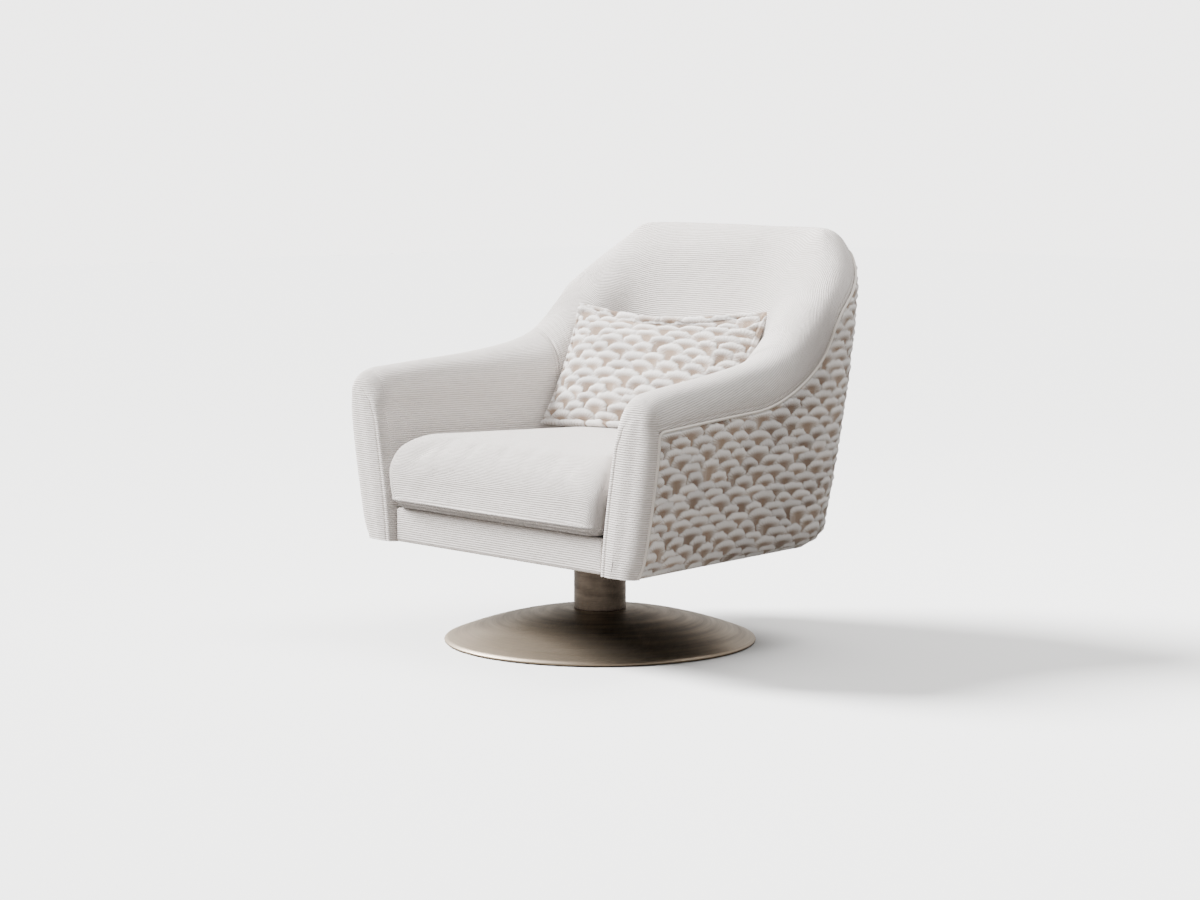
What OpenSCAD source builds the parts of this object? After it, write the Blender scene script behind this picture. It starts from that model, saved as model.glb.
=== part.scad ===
/* [Base] */
// Diameter of the disc base over its rim
base_d = 610; // [520:10:680]
// Height of the top of the dome, where the column stands
dome_h = 64; // [56:1:76]
// Thickness of the spun metal dome
dome_t = 2; // [1.5:0.5:3]
// Height of the rolled rim of the dome
rim_h = 7; // [6:0.5:10]
// Thickness of the felt disc under the base
felt_t = 3; // [2:0.5:5]
// Thickness of the cast ballast plate
ballast_t = 9; // [6:0.5:11]
// Outer diameter of the column
column_d = 102; // [90:1:110]
// Wall of the column tube
column_wall = 3; // [2:0.5:4]
// Thickness of the discs welded into the column
column_disc_t = 14; // [10:1:18]

/* [Swivel] */
// Diameter of the spindle
spindle_d = 25; // [20:1:30]
// Side of the square swivel plate
plate_w = 200; // [180:5:220]
// Thickness of the swivel plate
plate_t = 5; // [4:0.5:6]
// Diameter of the bearing balls
ball_d = 8; // [6:0.5:8]
// Number of bearing balls
ball_count = 16; // [8:1:18]
// Radius of the circle of balls
ball_circle_r = 33; // [31:0.5:35]
// Thickness of each bearing race
race_t = 5; // [4.5:0.5:6]

/* [Shell] */
// Height of the lower edge of the shell
shell_z = 188; // [180:1:200]
// Width of the shell at the front, along its lower edge
shell_w = 784; // [720:4:840]
// How far the front of the shell lies ahead of the column axis
front_reach = 265; // [240:5:290]
// How far the back of the shell lies behind the axis, at its lower edge
back_reach = 326; // [300:2:350]
// Angle by which each side turns in towards the back
toe = 10.6; // [6:0.2:13]
// Radius of the rear corners at the lower edge
corner_r = 120; // [110:2:130]
// Height of the arm at its front
arm_h = 522; // [500:2:550]
// Height of the top of the back
back_h = 804; // [760:2:850]
// How far the sides lean out
side_lean = 46; // [30:1:60]
// How far the back leans out
back_lean = 68; // [50:1:80]
// Width of the rounding along the crest of the arms and back
crest_round = 50; // [40:1:54]

/* [Frame] */
// Thickness of the frame boards
board_t = 18; // [15:1:20]
// Thickness of the seat rails and back posts
rail_t = 22; // [18:1:24]
// Height of the seat rails
rail_h = 39; // [34:1:42]
// Width of the back posts
post_w = 45; // [35:1:55]
// Width of each seat web
web_w = 60; // [50:1:65]
// Number of webs that run from front to back
web_count = 5; // [3:1:5]

/* [Cushions] */
// Thickness of the seat cushion at its crown
cushion_t = 148; // [130:2:160]
// How far the seat cushion stands ahead of the arms
cushion_nose = 27; // [15:1:35]
// Width of the lumbar pillow
pillow_w = 474; // [400:2:480]
// Height of the lumbar pillow
pillow_h = 272; // [240:2:290]
// Thickness of the lumbar pillow
pillow_t = 110; // [80:2:120]

/* [Hidden] */
$fn = 96;

// Colours
cream = "#e9e5dd";
pattern_cloth = "#b9aca0";
bronze = "#7d6f60";
steel = "#9a9ca0";
iron = "#3b3c3e";
plywood = "#c9a878";
hardwood = "#a9825a";
foam = "#efe6c8";
webbing_black = "#2b2b2d";
amber_plastic = "#d8c27a";

// Clearances and small shared sizes
seat_gap = 0.3;
run_gap = 0.05;
groove_gap = 0.1;
ease_gap = 2;
overrun = 1;
turn = 180 / PI;

// Helpers
function unit_clamp(t) = min(1, max(0, t));
function smooth(t) = let (u = unit_clamp(t)) u * u * (3 - 2 * u);
function soft_max(a, b, k) = (a + b + sqrt(pow(a - b, 2) + k * k)) / 2;
function soft_min(a, b, k) = (a + b - sqrt(pow(a - b, 2) + k * k)) / 2;
function mix(a, b, t) = a + (b - a) * t;

// Base, from the floor upwards
dome_seat_r = column_d / 2 + 4 * column_wall;
rim_r = base_d / 2;
rim_bead_r = rim_h / 2 - felt_t / 4;
rim_z = rim_h - rim_bead_r;
// The dome is part of a sphere through the rim and the seat of the column
dome_rise = dome_h - rim_h;
dome_run = pow(rim_r, 2) - pow(dome_seat_r, 2);
dome_centre_z = (dome_h + rim_h - dome_run / dome_rise) / 2;
dome_r = sqrt(pow(dome_h - dome_centre_z, 2) + pow(dome_seat_r, 2));
ballast_inset = 30;
ballast_r = rim_r - ballast_inset;
felt_inset = 6;
boss_r = dome_seat_r;
boss_foot_r = boss_r * 1.5;
bolt_d = 16;
bolt_head_d = 24;
bolt_head_h = 10;
washer_d = 34;
washer_t = 3;
bolt_well_d = washer_d + 4 * seat_gap;
bolt_well_top = felt_t + bolt_head_h + 2 * washer_t;
bolt_tip_z = dome_h + column_disc_t - washer_t;

// Column and its inside discs
column_r = column_d / 2;
column_bore_r = column_r - column_wall;
plate_gap = 8;
plate_z = shell_z + plate_gap;
race_r = column_bore_r - ease_gap * 2;
race_margin = 8;
race_bore_r = spindle_d / 2 + race_margin;
groove_r = ball_d / 2 + groove_gap;
groove_share = 0.7;
ball_z = plate_z - race_t - (ball_d / 2 - groove_r * groove_share);
upper_race_z = plate_z - race_t;
lower_race_z = 2 * ball_z - plate_z;
head_z = lower_race_z;
head_t = 18;
guide_drop = 74;
guide_z = head_z - guide_drop;
bush_wall = 3;
bush_flange_t = 2;
bush_flange_r = spindle_d / 2 + 2 * bush_wall;
spindle_tail = 14;
spindle_tip_z = guide_z - spindle_tail;
clip_t = 2;
clip_z = guide_z - bush_flange_t - washer_t - clip_t - 2 * seat_gap;
cage_t = 2;

// Swivel plate bolts
plate_bolt_d = 8;
plate_bolt_inset = 25;
plate_bolt_head_d = 16;
plate_bolt_head_h = 4;
plate_bolt_at = plate_w / 2 - plate_bolt_inset;
tee_nut_d = 22;
tee_nut_t = 2;

// Plan of the shell: a straight side, a round rear corner, a straight back
half_front = shell_w / 2;
corner_y = back_reach - corner_r;
corner_x = half_front - (corner_r + (corner_y + front_reach) * sin(toe)) / cos(toe);
side_l = (corner_y + front_reach + corner_r * sin(toe)) / cos(toe);
turn_l = corner_r * (90 - toe) / turn;
path_l = side_l + turn_l + corner_x;
square_l = corner_r;
blend_start = 100;
blend_l = side_l + turn_l / 2 - blend_start;

function guide(l) = l <= side_l
    ? [half_front - sin(toe) * l, cos(toe) * l - front_reach, toe]
    : l <= side_l + turn_l
    ? let (a = toe + (l - side_l) / corner_r * turn)
        [corner_x + corner_r * cos(a), corner_y + corner_r * sin(a), a]
    : [corner_x - (l - side_l - turn_l), back_reach, 90];

// A point at length l along the plan, off outwards from it, at height z, on side s.
// Near the front the cuts are squared, so that both arms end in one plane.
function place(l, off, z, s = 1) = let (
        g = guide(l),
        m = off * tan(toe) * pow(max(0, 1 - l / square_l), 2))
    [s * (g[0] + off * cos(g[2]) + m * sin(toe)), g[1] + off * sin(g[2]) - m * cos(toe), z];

// Share of the back in the section at length l
function back_share(l) = smooth((l - blend_start) / blend_l);

// Outer face: leans out with height, with a turned-under lower edge
side_lean_h = 262;
back_lean_h = 512;
side_curve_share = 1.3;
back_curve_share = 1.4;
under_h = 45;
side_under = 10;
back_under = 34;
function lean(z, reach, reach_h, curve) = reach * (1 - pow(1 - unit_clamp((z - shell_z) / reach_h), curve));
function under(z, reach) = reach * (1 - pow(1 - unit_clamp((z - shell_z) / under_h), 2));
function side_face(z) = lean(z, side_lean, side_lean_h, side_curve_share) + under(z, side_under);
function back_face(z) = lean(z, back_lean, back_lean_h, back_curve_share) + under(z, back_under);
function outer_face(l, z) = mix(side_face(z), back_face(z), back_share(l));

// Crest line of the arms, wings and back
arm_rise_share = 0.09;
wing_z = 690;
wing_l = 515;
wing_slope_share = 1.15;
wing_blend = 60;
back_blend = 20;
function crest(l) = soft_min(
    soft_max(arm_h + arm_rise_share * l, wing_z + wing_slope_share * (l - wing_l), wing_blend),
    back_h, back_blend);

// Seam between the plain roll and the patterned outside
seam_front_z = 464;
seam_rise_share = 0.05;
seam_lift = 120;
seam_sweep = 165;
seam_start = 280;
seam_span = 250;
seam_drop = 42;
function seam(l) = let (u = max(0, (l - seam_start) / seam_span)) soft_min(
    seam_front_z + seam_rise_share * l + seam_lift * pow(u, 2) + seam_sweep * pow(min(u, 1.1), 12),
    crest(l) - seam_drop, back_blend);

// Rounding of the roll, outside and inside
outer_roll_h = 52;
outer_roll_gain = 16;
inner_roll_h = 68;
function roll_h(l) = outer_roll_h + outer_roll_gain * back_share(l);
function round_in(t) = let (u = unit_clamp(t)) 1 - sqrt(1 - u * u);
function outer(l, z) = outer_face(l, z) - crest_round * round_in((z - crest(l) + roll_h(l)) / roll_h(l));

// Inner face: flares out with height at the arms and leans back behind the seat
inner_low = 89;
inner_high = 50;
inner_back = 97;
lean_z = 420;
lean_blend = 30;
back_slope_share = 0.27;
corner_fill = 15;
corner_fill_l = 95;
corner_mid_l = side_l + turn_l / 2;
function inner_side(z) = mix(-inner_low, -inner_high,
    pow(unit_clamp((z - shell_z) / side_lean_h), side_curve_share));
function inner_rear(z) = back_slope_share * soft_max(0, z - lean_z, lean_blend) - inner_back;
function inner_face(l, z) = mix(inner_side(z), inner_rear(z), back_share(l))
    - corner_fill * exp(-pow((l - corner_mid_l) / corner_fill_l, 2));
function crest_off(l) = outer_face(l, crest(l)) - crest_round;
function inner(l, z) = mix(inner_face(l, z), crest_off(l),
    round_in((z - crest(l) + inner_roll_h) / inner_roll_h));

// Frame planes inside the wall
board_in = 32;
board_out = board_in - board_t;
hem_h = 3;
frame_z = shell_z + hem_h;
rail_top = frame_z + rail_h;
front_panel_t = 14;
front_set_back = 20;
front_rail_y = front_set_back - front_reach;
board_start_l = 20;
board_tail = 23;
board_end_l = side_l + board_tail;
board_neck = 38;
board_step_l = side_l - board_neck;
rail_past_corner = 16;
rear_rail_y = corner_y + rail_past_corner;
post_foot_y = rear_rail_y + rail_t;
post_tilt = 12;
corner_pocket = 28;
function post_face_y(z) = post_foot_y + tan(post_tilt) * (z - frame_z);
function rear_plane(z) = post_face_y(z) - back_reach;
board_ease = 4;
board_ease_l = 30;
function turn_share(l) = smooth((l - side_l) / turn_l);
function skin_share(l) = smooth((l - board_end_l) / (side_l + turn_l - board_end_l));
function pocket(l) = let (u = unit_clamp((l - side_l) / turn_l)) corner_pocket * 4 * u * (1 - u);
function pad_plane(l, z) = mix(-board_in, rear_plane(z), turn_share(l)) - pocket(l) - seat_gap;
function skin_plane(l, z) = mix(
    board_ease * smooth((l - side_l + board_ease_l) / board_ease_l) - board_out,
    rear_plane(z) + rail_t / cos(post_tilt), skin_share(l)) + seat_gap;
function plane_x(u, y) = half_front + (u - (y + front_reach) * sin(toe)) / cos(toe);

// Solid between rings of points; each ring runs up one chain and back down the other
module loft(rings) {
    n = len(rings[0]);
    last = (len(rings) - 1) * n;
    sides = [for (j = [0 : len(rings) - 2], i = [0 : n - 1])
        let (a = j * n + i, b = j * n + (i + 1) % n) each [[a, a + n, b], [b, a + n, b + n]]];
    caps = [for (i = [0 : n / 2 - 2])
        let (a = i, b = i + 1, c = n - 2 - i, d = n - 1 - i)
        each [[a, b, c], [a, c, d], [last + c, last + b, last + a], [last + d, last + c, last + a]]];
    polyhedron(points = [for (r = rings) each r], faces = concat(sides, caps), convexity = 8);
}

// Sections of the upholstery
pad_lift = 5;
pad_z = rail_top + pad_lift;
low_steps = 4;
roll_steps = 6;
chain_last = low_steps + 2 * roll_steps;
rise_steps = low_steps + roll_steps / 2 + 1;
seam_edge = 8;
function roll_z(l, a) = crest(l) - inner_roll_h * (1 - sin(a));
function rim_z_at(l, a) = crest(l) - (crest(l) - seam(l)) * (1 - sin(a));
function roll_chain(l, z0, s) = [for (i = [0 : chain_last])
    let (a = min(90, 90 * (i - low_steps) / roll_steps),
        b = 90 * (chain_last - i) / roll_steps,
        z = i <= low_steps ? mix(z0, crest(l) - inner_roll_h, i / low_steps)
            : i <= low_steps + roll_steps ? roll_z(l, a) : rim_z_at(l, b))
    place(l, i <= low_steps + roll_steps ? inner(l, z) : outer(l, z), z, s)];
function plane_chain(l, z0, s) = [for (i = [0 : chain_last])
    let (z = mix(z0, seam(l), min(1, i / rise_steps)),
        across = max(0, (i - rise_steps) / (chain_last - rise_steps)))
    place(l, mix(pad_plane(l, z), outer(l, z) - seam_edge, across), z, s)];
function pad_ring(l, s = 1) = concat(roll_chain(l, pad_z, s), flipped(plane_chain(l, pad_z, s)));
function flipped(list) = [for (i = [len(list) - 1 : -1 : 0]) list[i]];

// The top of the outside padding slopes down inwards from the seam
skin_steps = 9;
skin_top_gap = 4 * seat_gap;
skin_wedge = 16;
function skin_level(top, i) = mix(shell_z, top, pow(i / skin_steps, 1.25));
function skin_ring(l, s = 1) = let (top = seam(l) - skin_top_gap) concat(
    [for (i = [0 : skin_steps]) let (z = skin_level(top - skin_wedge, i)) place(l, skin_plane(l, z), z, s)],
    [for (i = [skin_steps : -1 : 0]) let (z = skin_level(top, i)) place(l, outer(l, z), z, s)]);

// The two arm pads stop where the back pad begins, and the outside arms just past the corner
pad_split_l = side_l * 0.8;
arm_rings = 10;
back_rings = 18;
skin_split = 12;
function along(a, b, i, n) = mix(a, b, i / n);
function arm_at(i) = along(front_panel_t, pad_split_l, i, arm_rings);
function back_at(i) = along(pad_split_l, path_l, i, back_rings);

module felt_disc() {
    r = ballast_r - felt_inset;
    step = felt_t / 3;
    color(webbing_black) {
        cylinder(h = felt_t, r = r - step);
        translate([0, 0, step]) cylinder(h = felt_t - step, r = r);
    }
}

module ballast_plate() {
    color(iron) difference() {
        rotate_extrude() polygon([
            [0, felt_t], [ballast_r, felt_t], [ballast_r, felt_t + ballast_t * 0.6],
            [ballast_r * 0.93, felt_t + ballast_t], [boss_foot_r, felt_t + ballast_t * 2],
            [boss_r, dome_h - dome_t], [0, dome_h - dome_t]]);
        translate([0, 0, -overrun]) cylinder(h = bolt_well_top + overrun, d = bolt_well_d);
        cylinder(h = dome_h, d = bolt_d + 2 * seat_gap);
    }
}

module base_dome() {
    color(bronze) difference() {
        union() {
            intersection() {
                translate([0, 0, dome_centre_z]) sphere(r = dome_r, $fn = 200);
                translate([0, 0, rim_z]) cylinder(h = dome_h - rim_z, r = rim_r - rim_bead_r);
            }
            translate([0, 0, rim_z]) rotate_extrude()
                translate([rim_r - rim_bead_r, 0]) circle(r = rim_bead_r, $fn = 32);
        }
        intersection() {
            translate([0, 0, dome_centre_z]) sphere(r = dome_r - dome_t, $fn = 200);
            translate([0, 0, -overrun]) cylinder(h = dome_h - dome_t + overrun, r = rim_r - 2 * rim_bead_r);
        }
        cylinder(h = dome_h + overrun, d = bolt_d + 2 * seat_gap);
    }
}

module column_tube() {
    color(bronze) translate([0, 0, dome_h]) difference() {
        cylinder(h = head_z - dome_h, r = column_r);
        translate([0, 0, -overrun]) cylinder(h = head_z + 2 * overrun, r = column_bore_r);
    }
}

module column_foot() {
    color(steel) translate([0, 0, dome_h]) difference() {
        cylinder(h = column_disc_t, r = column_bore_r);
        translate([0, 0, -overrun]) cylinder(h = column_disc_t + 2 * overrun, d = bolt_d + 2 * run_gap);
    }
}

module centre_bolt() {
    color(steel) {
        translate([0, 0, bolt_well_top - washer_t - bolt_head_h])
            cylinder(h = bolt_head_h, d = bolt_head_d, $fn = 6);
        translate([0, 0, bolt_well_top - washer_t - overrun])
            cylinder(h = bolt_tip_z - bolt_well_top + washer_t + overrun, d = bolt_d);
    }
}

module centre_washer() {
    color(steel) translate([0, 0, bolt_well_top - washer_t]) difference() {
        cylinder(h = washer_t, d = washer_d);
        translate([0, 0, -overrun]) cylinder(h = washer_t + 2 * overrun, d = bolt_d + 2 * seat_gap);
    }
}

// Disc inside the column that holds a bushing
module bushing_disc(z, t) {
    translate([0, 0, z]) difference() {
        cylinder(h = t, r = column_bore_r);
        translate([0, 0, -overrun]) cylinder(h = t + 2 * overrun, r = spindle_d / 2 + bush_wall);
    }
}

module column_head() {
    color(steel) bushing_disc(head_z - head_t, head_t);
}

module column_guide() {
    color(steel) bushing_disc(guide_z, column_disc_t);
}

module bushing(h) {
    difference() {
        union() {
            cylinder(h = h, r = spindle_d / 2 + bush_wall);
            translate([0, 0, -bush_flange_t]) cylinder(h = bush_flange_t, r = bush_flange_r);
        }
        translate([0, 0, -bush_flange_t - overrun])
            cylinder(h = h + bush_flange_t + 2 * overrun, r = spindle_d / 2 + run_gap);
    }
}

module upper_bushing() {
    color(amber_plastic) translate([0, 0, head_z - head_t]) bushing(head_t);
}

module lower_bushing() {
    color(amber_plastic) translate([0, 0, guide_z]) bushing(column_disc_t);
}

module race_ring() {
    difference() {
        cylinder(h = race_t, r = race_r);
        translate([0, 0, -overrun]) cylinder(h = race_t + 2 * overrun, r = race_bore_r);
    }
}

module ball_groove() {
    translate([0, 0, ball_z]) rotate_extrude() translate([ball_circle_r, 0]) circle(r = groove_r);
}

module lower_race() {
    color(steel) difference() {
        translate([0, 0, lower_race_z]) race_ring();
        ball_groove();
    }
}

module upper_race() {
    color(steel) difference() {
        translate([0, 0, upper_race_z]) race_ring();
        ball_groove();
    }
}

module bearing_balls() {
    color(steel) for (i = [0 : ball_count - 1]) rotate(360 / ball_count * i)
        translate([ball_circle_r, 0, ball_z]) sphere(d = ball_d);
}

module ball_cage() {
    color(amber_plastic) difference() {
        translate([0, 0, ball_z - cage_t / 2]) difference() {
            cylinder(h = cage_t, r = race_r - cage_t);
            translate([0, 0, -overrun]) cylinder(h = cage_t + 2 * overrun, r = race_bore_r + cage_t);
        }
        for (i = [0 : ball_count - 1]) rotate(360 / ball_count * i)
            translate([ball_circle_r, 0, ball_z - cage_t])
                cylinder(h = 2 * cage_t, r = ball_d / 2 + seat_gap);
    }
}

module at_plate_bolts() {
    for (x = [-1, 1], y = [-1, 1]) translate([x * plate_bolt_at, y * plate_bolt_at, 0]) children();
}

module swivel_plate() {
    color(iron) difference() {
        translate([-plate_w / 2, -plate_w / 2, plate_z]) cube([plate_w, plate_w, plate_t]);
        at_plate_bolts() translate([0, 0, plate_z - overrun])
            cylinder(h = plate_t + 2 * overrun, d = plate_bolt_d + 2 * seat_gap);
        translate([0, 0, plate_z - overrun]) cylinder(h = plate_t + 2 * overrun, d = spindle_d + 2 * run_gap);
    }
}

module swivel_spindle() {
    color(steel) difference() {
        translate([0, 0, spindle_tip_z]) cylinder(h = plate_z + plate_t - spindle_tip_z, d = spindle_d);
        translate([0, 0, clip_z]) difference() {
            cylinder(h = clip_t, d = spindle_d + 2 * overrun);
            translate([0, 0, -overrun]) cylinder(h = clip_t + 2 * overrun, d = spindle_d - 2 * clip_t);
        }
    }
}

module spindle_washer() {
    color(steel) translate([0, 0, clip_z + clip_t]) difference() {
        cylinder(h = washer_t, r = bush_flange_r);
        translate([0, 0, -overrun]) cylinder(h = washer_t + 2 * overrun, d = spindle_d + 2 * run_gap);
    }
}

module spindle_clip() {
    color(iron) translate([0, 0, clip_z]) difference() {
        cylinder(h = clip_t, d = spindle_d + 4 * clip_t);
        translate([0, 0, -overrun]) cylinder(h = clip_t + 2 * overrun, d = spindle_d - 2 * clip_t);
        translate([0, -clip_t, -overrun]) cube([spindle_d, 2 * clip_t, clip_t + 2 * overrun]);
    }
}

cross_rail_w = 90;
cross_rail_y = plate_bolt_at;
cross_rail_z = plate_z + plate_t;
cross_rail_t = rail_top - cross_rail_z - tee_nut_t * 2;
cross_rail_top = cross_rail_z + cross_rail_t;

module plate_bolts() {
    color(steel) at_plate_bolts() difference() {
        union() {
            translate([0, 0, plate_z - plate_bolt_head_h])
                cylinder(h = plate_bolt_head_h, d = plate_bolt_head_d);
            translate([0, 0, plate_z - overrun])
                cylinder(h = cross_rail_top - plate_z + overrun, d = plate_bolt_d);
        }
        translate([0, 0, plate_z - plate_bolt_head_h - overrun])
            cylinder(h = plate_bolt_head_h * 0.6 + overrun, d = plate_bolt_d * 0.6, $fn = 6);
    }
}

module tee_nuts() {
    color(steel) at_plate_bolts() difference() {
        union() {
            translate([0, 0, cross_rail_top]) cylinder(h = tee_nut_t, d = tee_nut_d);
            translate([0, 0, cross_rail_top - 4 * tee_nut_t])
                cylinder(h = 4 * tee_nut_t, d = plate_bolt_d + 2 * tee_nut_t);
        }
        translate([0, 0, cross_rail_z]) cylinder(h = rail_h, d = plate_bolt_d + 2 * run_gap);
    }
}

// Board laid between the two sides, its ends cut to lie against the plane u
module cross_board(y, w, z, t, u) {
    translate([0, 0, z]) linear_extrude(t) polygon([
        [-plane_x(u, y), y], [plane_x(u, y), y],
        [plane_x(u, y + w), y + w], [-plane_x(u, y + w), y + w]]);
}

module cross_rail(y) {
    difference() {
        cross_board(y - cross_rail_w / 2, cross_rail_w, cross_rail_z, cross_rail_t, -board_in - rail_t);
        at_plate_bolts() translate([0, 0, plate_z]) {
            cylinder(h = rail_h, d = plate_bolt_d + 2 * seat_gap);
            translate([0, 0, cross_rail_top - plate_z - 4 * tee_nut_t])
                cylinder(h = rail_h, d = plate_bolt_d + 2 * tee_nut_t);
        }
        cylinder(h = cross_rail_top, d = spindle_d + 8 * run_gap);
    }
}

module front_cross_rail() {
    color(hardwood) cross_rail(-cross_rail_y);
}

module rear_cross_rail() {
    color(hardwood) cross_rail(cross_rail_y);
}

module front_seat_rail() {
    color(hardwood) cross_board(front_rail_y, rail_t, frame_z, rail_h, -board_in);
}

module rear_seat_rail() {
    color(hardwood) cross_board(rear_rail_y, rail_t, frame_z, rail_h, -board_in);
}

module right_seat_rail() {
    y0 = front_rail_y + rail_t;
    color(hardwood) translate([0, 0, frame_z]) linear_extrude(rail_h) polygon([
        [plane_x(-board_in - rail_t, y0), y0], [plane_x(-board_in, y0), y0],
        [plane_x(-board_in, rear_rail_y), rear_rail_y],
        [plane_x(-board_in - rail_t, rear_rail_y), rear_rail_y]]);
}

module left_seat_rail() {
    mirror([1, 0, 0]) right_seat_rail();
}

block_w = 70;
block_inset = 4.5;
block_h = rail_h - 2 * block_inset;
module corner_block(y, step) {
    x0 = plane_x(-board_in - rail_t, y);
    x1 = plane_x(-board_in - rail_t, y + step);
    polygon([[x0 - block_w, y], [x0, y], [x1, y + step]]);
}

module corner_blocks() {
    color(hardwood) translate([0, 0, frame_z + block_inset]) linear_extrude(block_h)
        for (s = [0, 1]) mirror([s, 0]) {
            corner_block(front_rail_y + rail_t, block_w);
            corner_block(rear_rail_y, -block_w);
        }
}

board_rings = 12;
board_top_gap = skin_wedge / 2;
module right_arm_board() {
    top_step = (board_step_l - board_start_l) / board_rings;
    step_z = seam(board_step_l) - board_top_gap;
    color(plywood) translate([half_front, -front_reach, 0]) rotate(toe)
        translate([-board_in, 0, 0]) rotate([90, 0, 90]) linear_extrude(board_t) polygon(concat(
            [[board_end_l, step_z], [board_end_l, frame_z], [board_start_l, frame_z]],
            [for (i = [0 : board_rings]) let (l = board_start_l + i * top_step)
                [l, seam(l) - board_top_gap]]));
}

module left_arm_board() {
    mirror([1, 0, 0]) right_arm_board();
}

post_inset = 38;
post_at = corner_x - post_inset;
post_drop = 70;
post_top_z = back_h - post_drop;
post_l = (post_top_z - frame_z) / cos(post_tilt);
post_lift = rail_t * sin(post_tilt);
module on_posts() {
    translate([0, post_foot_y, frame_z]) rotate([-post_tilt, 0, 0]) children();
}

module right_back_post() {
    color(hardwood) on_posts() translate([post_at - post_w / 2, 0, post_lift])
        cube([post_w, rail_t, post_l - post_lift]);
}

module left_back_post() {
    mirror([1, 0, 0]) right_back_post();
}

back_rail_h = 60;
module back_rail(z) {
    w = 2 * post_at - post_w;
    on_posts() translate([-w / 2, 0, z]) cube([w, rail_t, back_rail_h]);
}

module back_top_rail() {
    color(hardwood) back_rail(post_l - back_rail_h);
}

module back_middle_rail() {
    color(hardwood) back_rail(post_l * 0.42);
}

brace_z = 360;
brace_h = 60;
brace_inset = 9;
module right_corner_brace() {
    post_x = post_at + post_w / 2;
    board_y = cos(toe) * board_end_l - front_reach - board_in * sin(toe);
    y0 = post_face_y(brace_z + brace_h) + brace_inset;
    y1 = post_face_y(brace_z) + rail_t / cos(post_tilt);
    color(hardwood) translate([0, 0, brace_z]) linear_extrude(brace_h) polygon([
        [post_x, y0], [post_x, y1],
        [plane_x(-board_in, board_y), board_y],
        [plane_x(-board_in, board_y - rail_t), board_y - rail_t]]);
}

module left_corner_brace() {
    mirror([1, 0, 0]) right_corner_brace();
}

// Elastic webs over the rails
web_t = 2;
web_pitch = web_w * 1.5;
web_front_y = front_rail_y + rail_t / 4;
web_rear_y = rear_rail_y + rail_t * 0.75;
cross_web_count = 4;
cross_web_z = rail_top + web_t + seat_gap;
module seat_webs() {
    color(webbing_black) for (i = [0 : web_count - 1])
        translate([web_pitch * (i - (web_count - 1) / 2) - web_w / 2, web_front_y, rail_top])
            cube([web_w, web_rear_y - web_front_y, web_t]);
}

module cross_webs() {
    span = web_rear_y - web_front_y - 2 * web_w;
    color(webbing_black) for (i = [0 : cross_web_count - 1])
        cross_board(web_front_y + web_w / 2 + span * i / (cross_web_count - 1), web_w, cross_web_z, web_t,
            -board_in - rail_t / 4);
}

// Deck under the loose cushion
deck_z = cross_web_z + web_t + seat_gap;
deck_t = 22;
deck_top = deck_z + deck_t;
deck_points = 20;
deck_start_l = board_start_l + rail_t;
module deck_pad() {
    edge = [for (i = [0 : deck_points]) let (l = along(deck_start_l, path_l, i, deck_points))
        place(l, inner(l, pad_z) - ease_gap, 0)];
    color(webbing_black) translate([0, 0, deck_z]) linear_extrude(deck_t) mirrored_outline(edge);
}

// Closed outline from points on the right, listed from front to back
module mirrored_outline(edge) {
    polygon(concat([for (p = edge) [p[0], p[1]]], [for (p = flipped(edge)) [-p[0], p[1]]]));
}

dust_t = 1;
dust_hole_gap = 12;
dust_hole_d = column_d + 2 * dust_hole_gap;
dust_rings = 30;
dust_start_l = board_start_l + pad_lift + hem_h;
module dust_cover() {
    edge = [for (i = [0 : dust_rings]) let (l = along(dust_start_l, path_l, i, dust_rings))
        place(l, skin_plane(l, shell_z) - ease_gap, 0)];
    color(webbing_black) translate([0, 0, frame_z - dust_t]) difference() {
        linear_extrude(dust_t) mirrored_outline(edge);
        translate([0, 0, -overrun]) cylinder(h = dust_t + 2 * overrun, d = dust_hole_d);
    }
}

// Padded panel over the front seat rail
panel_proud = 3;
panel_top = deck_top - dust_t;
panel_round = 6;
module front_rail_cover() {
    y0 = -front_reach - panel_proud;
    y1 = front_rail_y;
    r = panel_round;
    u = -inner_low - seat_gap;
    outline = [[y1, shell_z], [y0 + r, shell_z], [y0 + r * 0.3, shell_z + r * 0.3], [y0, shell_z + r],
        [y0, panel_top - r], [y0 + r * 0.3, panel_top - r * 0.3], [y0 + r, panel_top], [y1, panel_top]];
    color(cream) difference() {
        translate([-half_front, 0, 0]) rotate([90, 0, 90]) linear_extrude(shell_w) polygon(outline);
        for (s = [0, 1]) mirror([s, 0, 0])
            translate([plane_x(u, y0), y0, shell_z - overrun]) rotate(toe)
                translate([0, -rail_t, 0]) cube([shell_w, 4 * rail_t, panel_top]);
    }
}

// Facing panels at the fronts of the arms: their edges are rounded over
face_round = 12;
face_low_z = shell_z;
face_step_shares = [[0, 1], [0.15, 0.45], [0.45, 0.12], [1, 0]];
face_rows = 12;
function face_point(l, z, side, back_off, s) = let (
        c = crest(l) - back_off,
        zz = mix(face_low_z + back_off / 2, c, z),
        a = inner(l, min(zz + back_off, crest(l))) + back_off,
        b = outer(l, min(zz + back_off, crest(l))) - back_off)
    place(l, side < 1 ? min(a, (a + b) / 2) : max(b, (a + b) / 2), zz, s);
function face_level(i) = sin(90 * i / face_rows);
function face_ring(l, back_off) = concat(
    [for (i = [0 : face_rows]) face_point(l, face_level(i), 0, back_off, 1)],
    [for (i = [face_rows : -1 : 0]) face_point(l, face_level(i), 1, back_off, 1)]);
module right_arm_front() {
    color(cream) loft([for (f = face_step_shares)
        face_ring(f[0] * (front_panel_t - seat_gap), f[1] * face_round)]);
}

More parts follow.
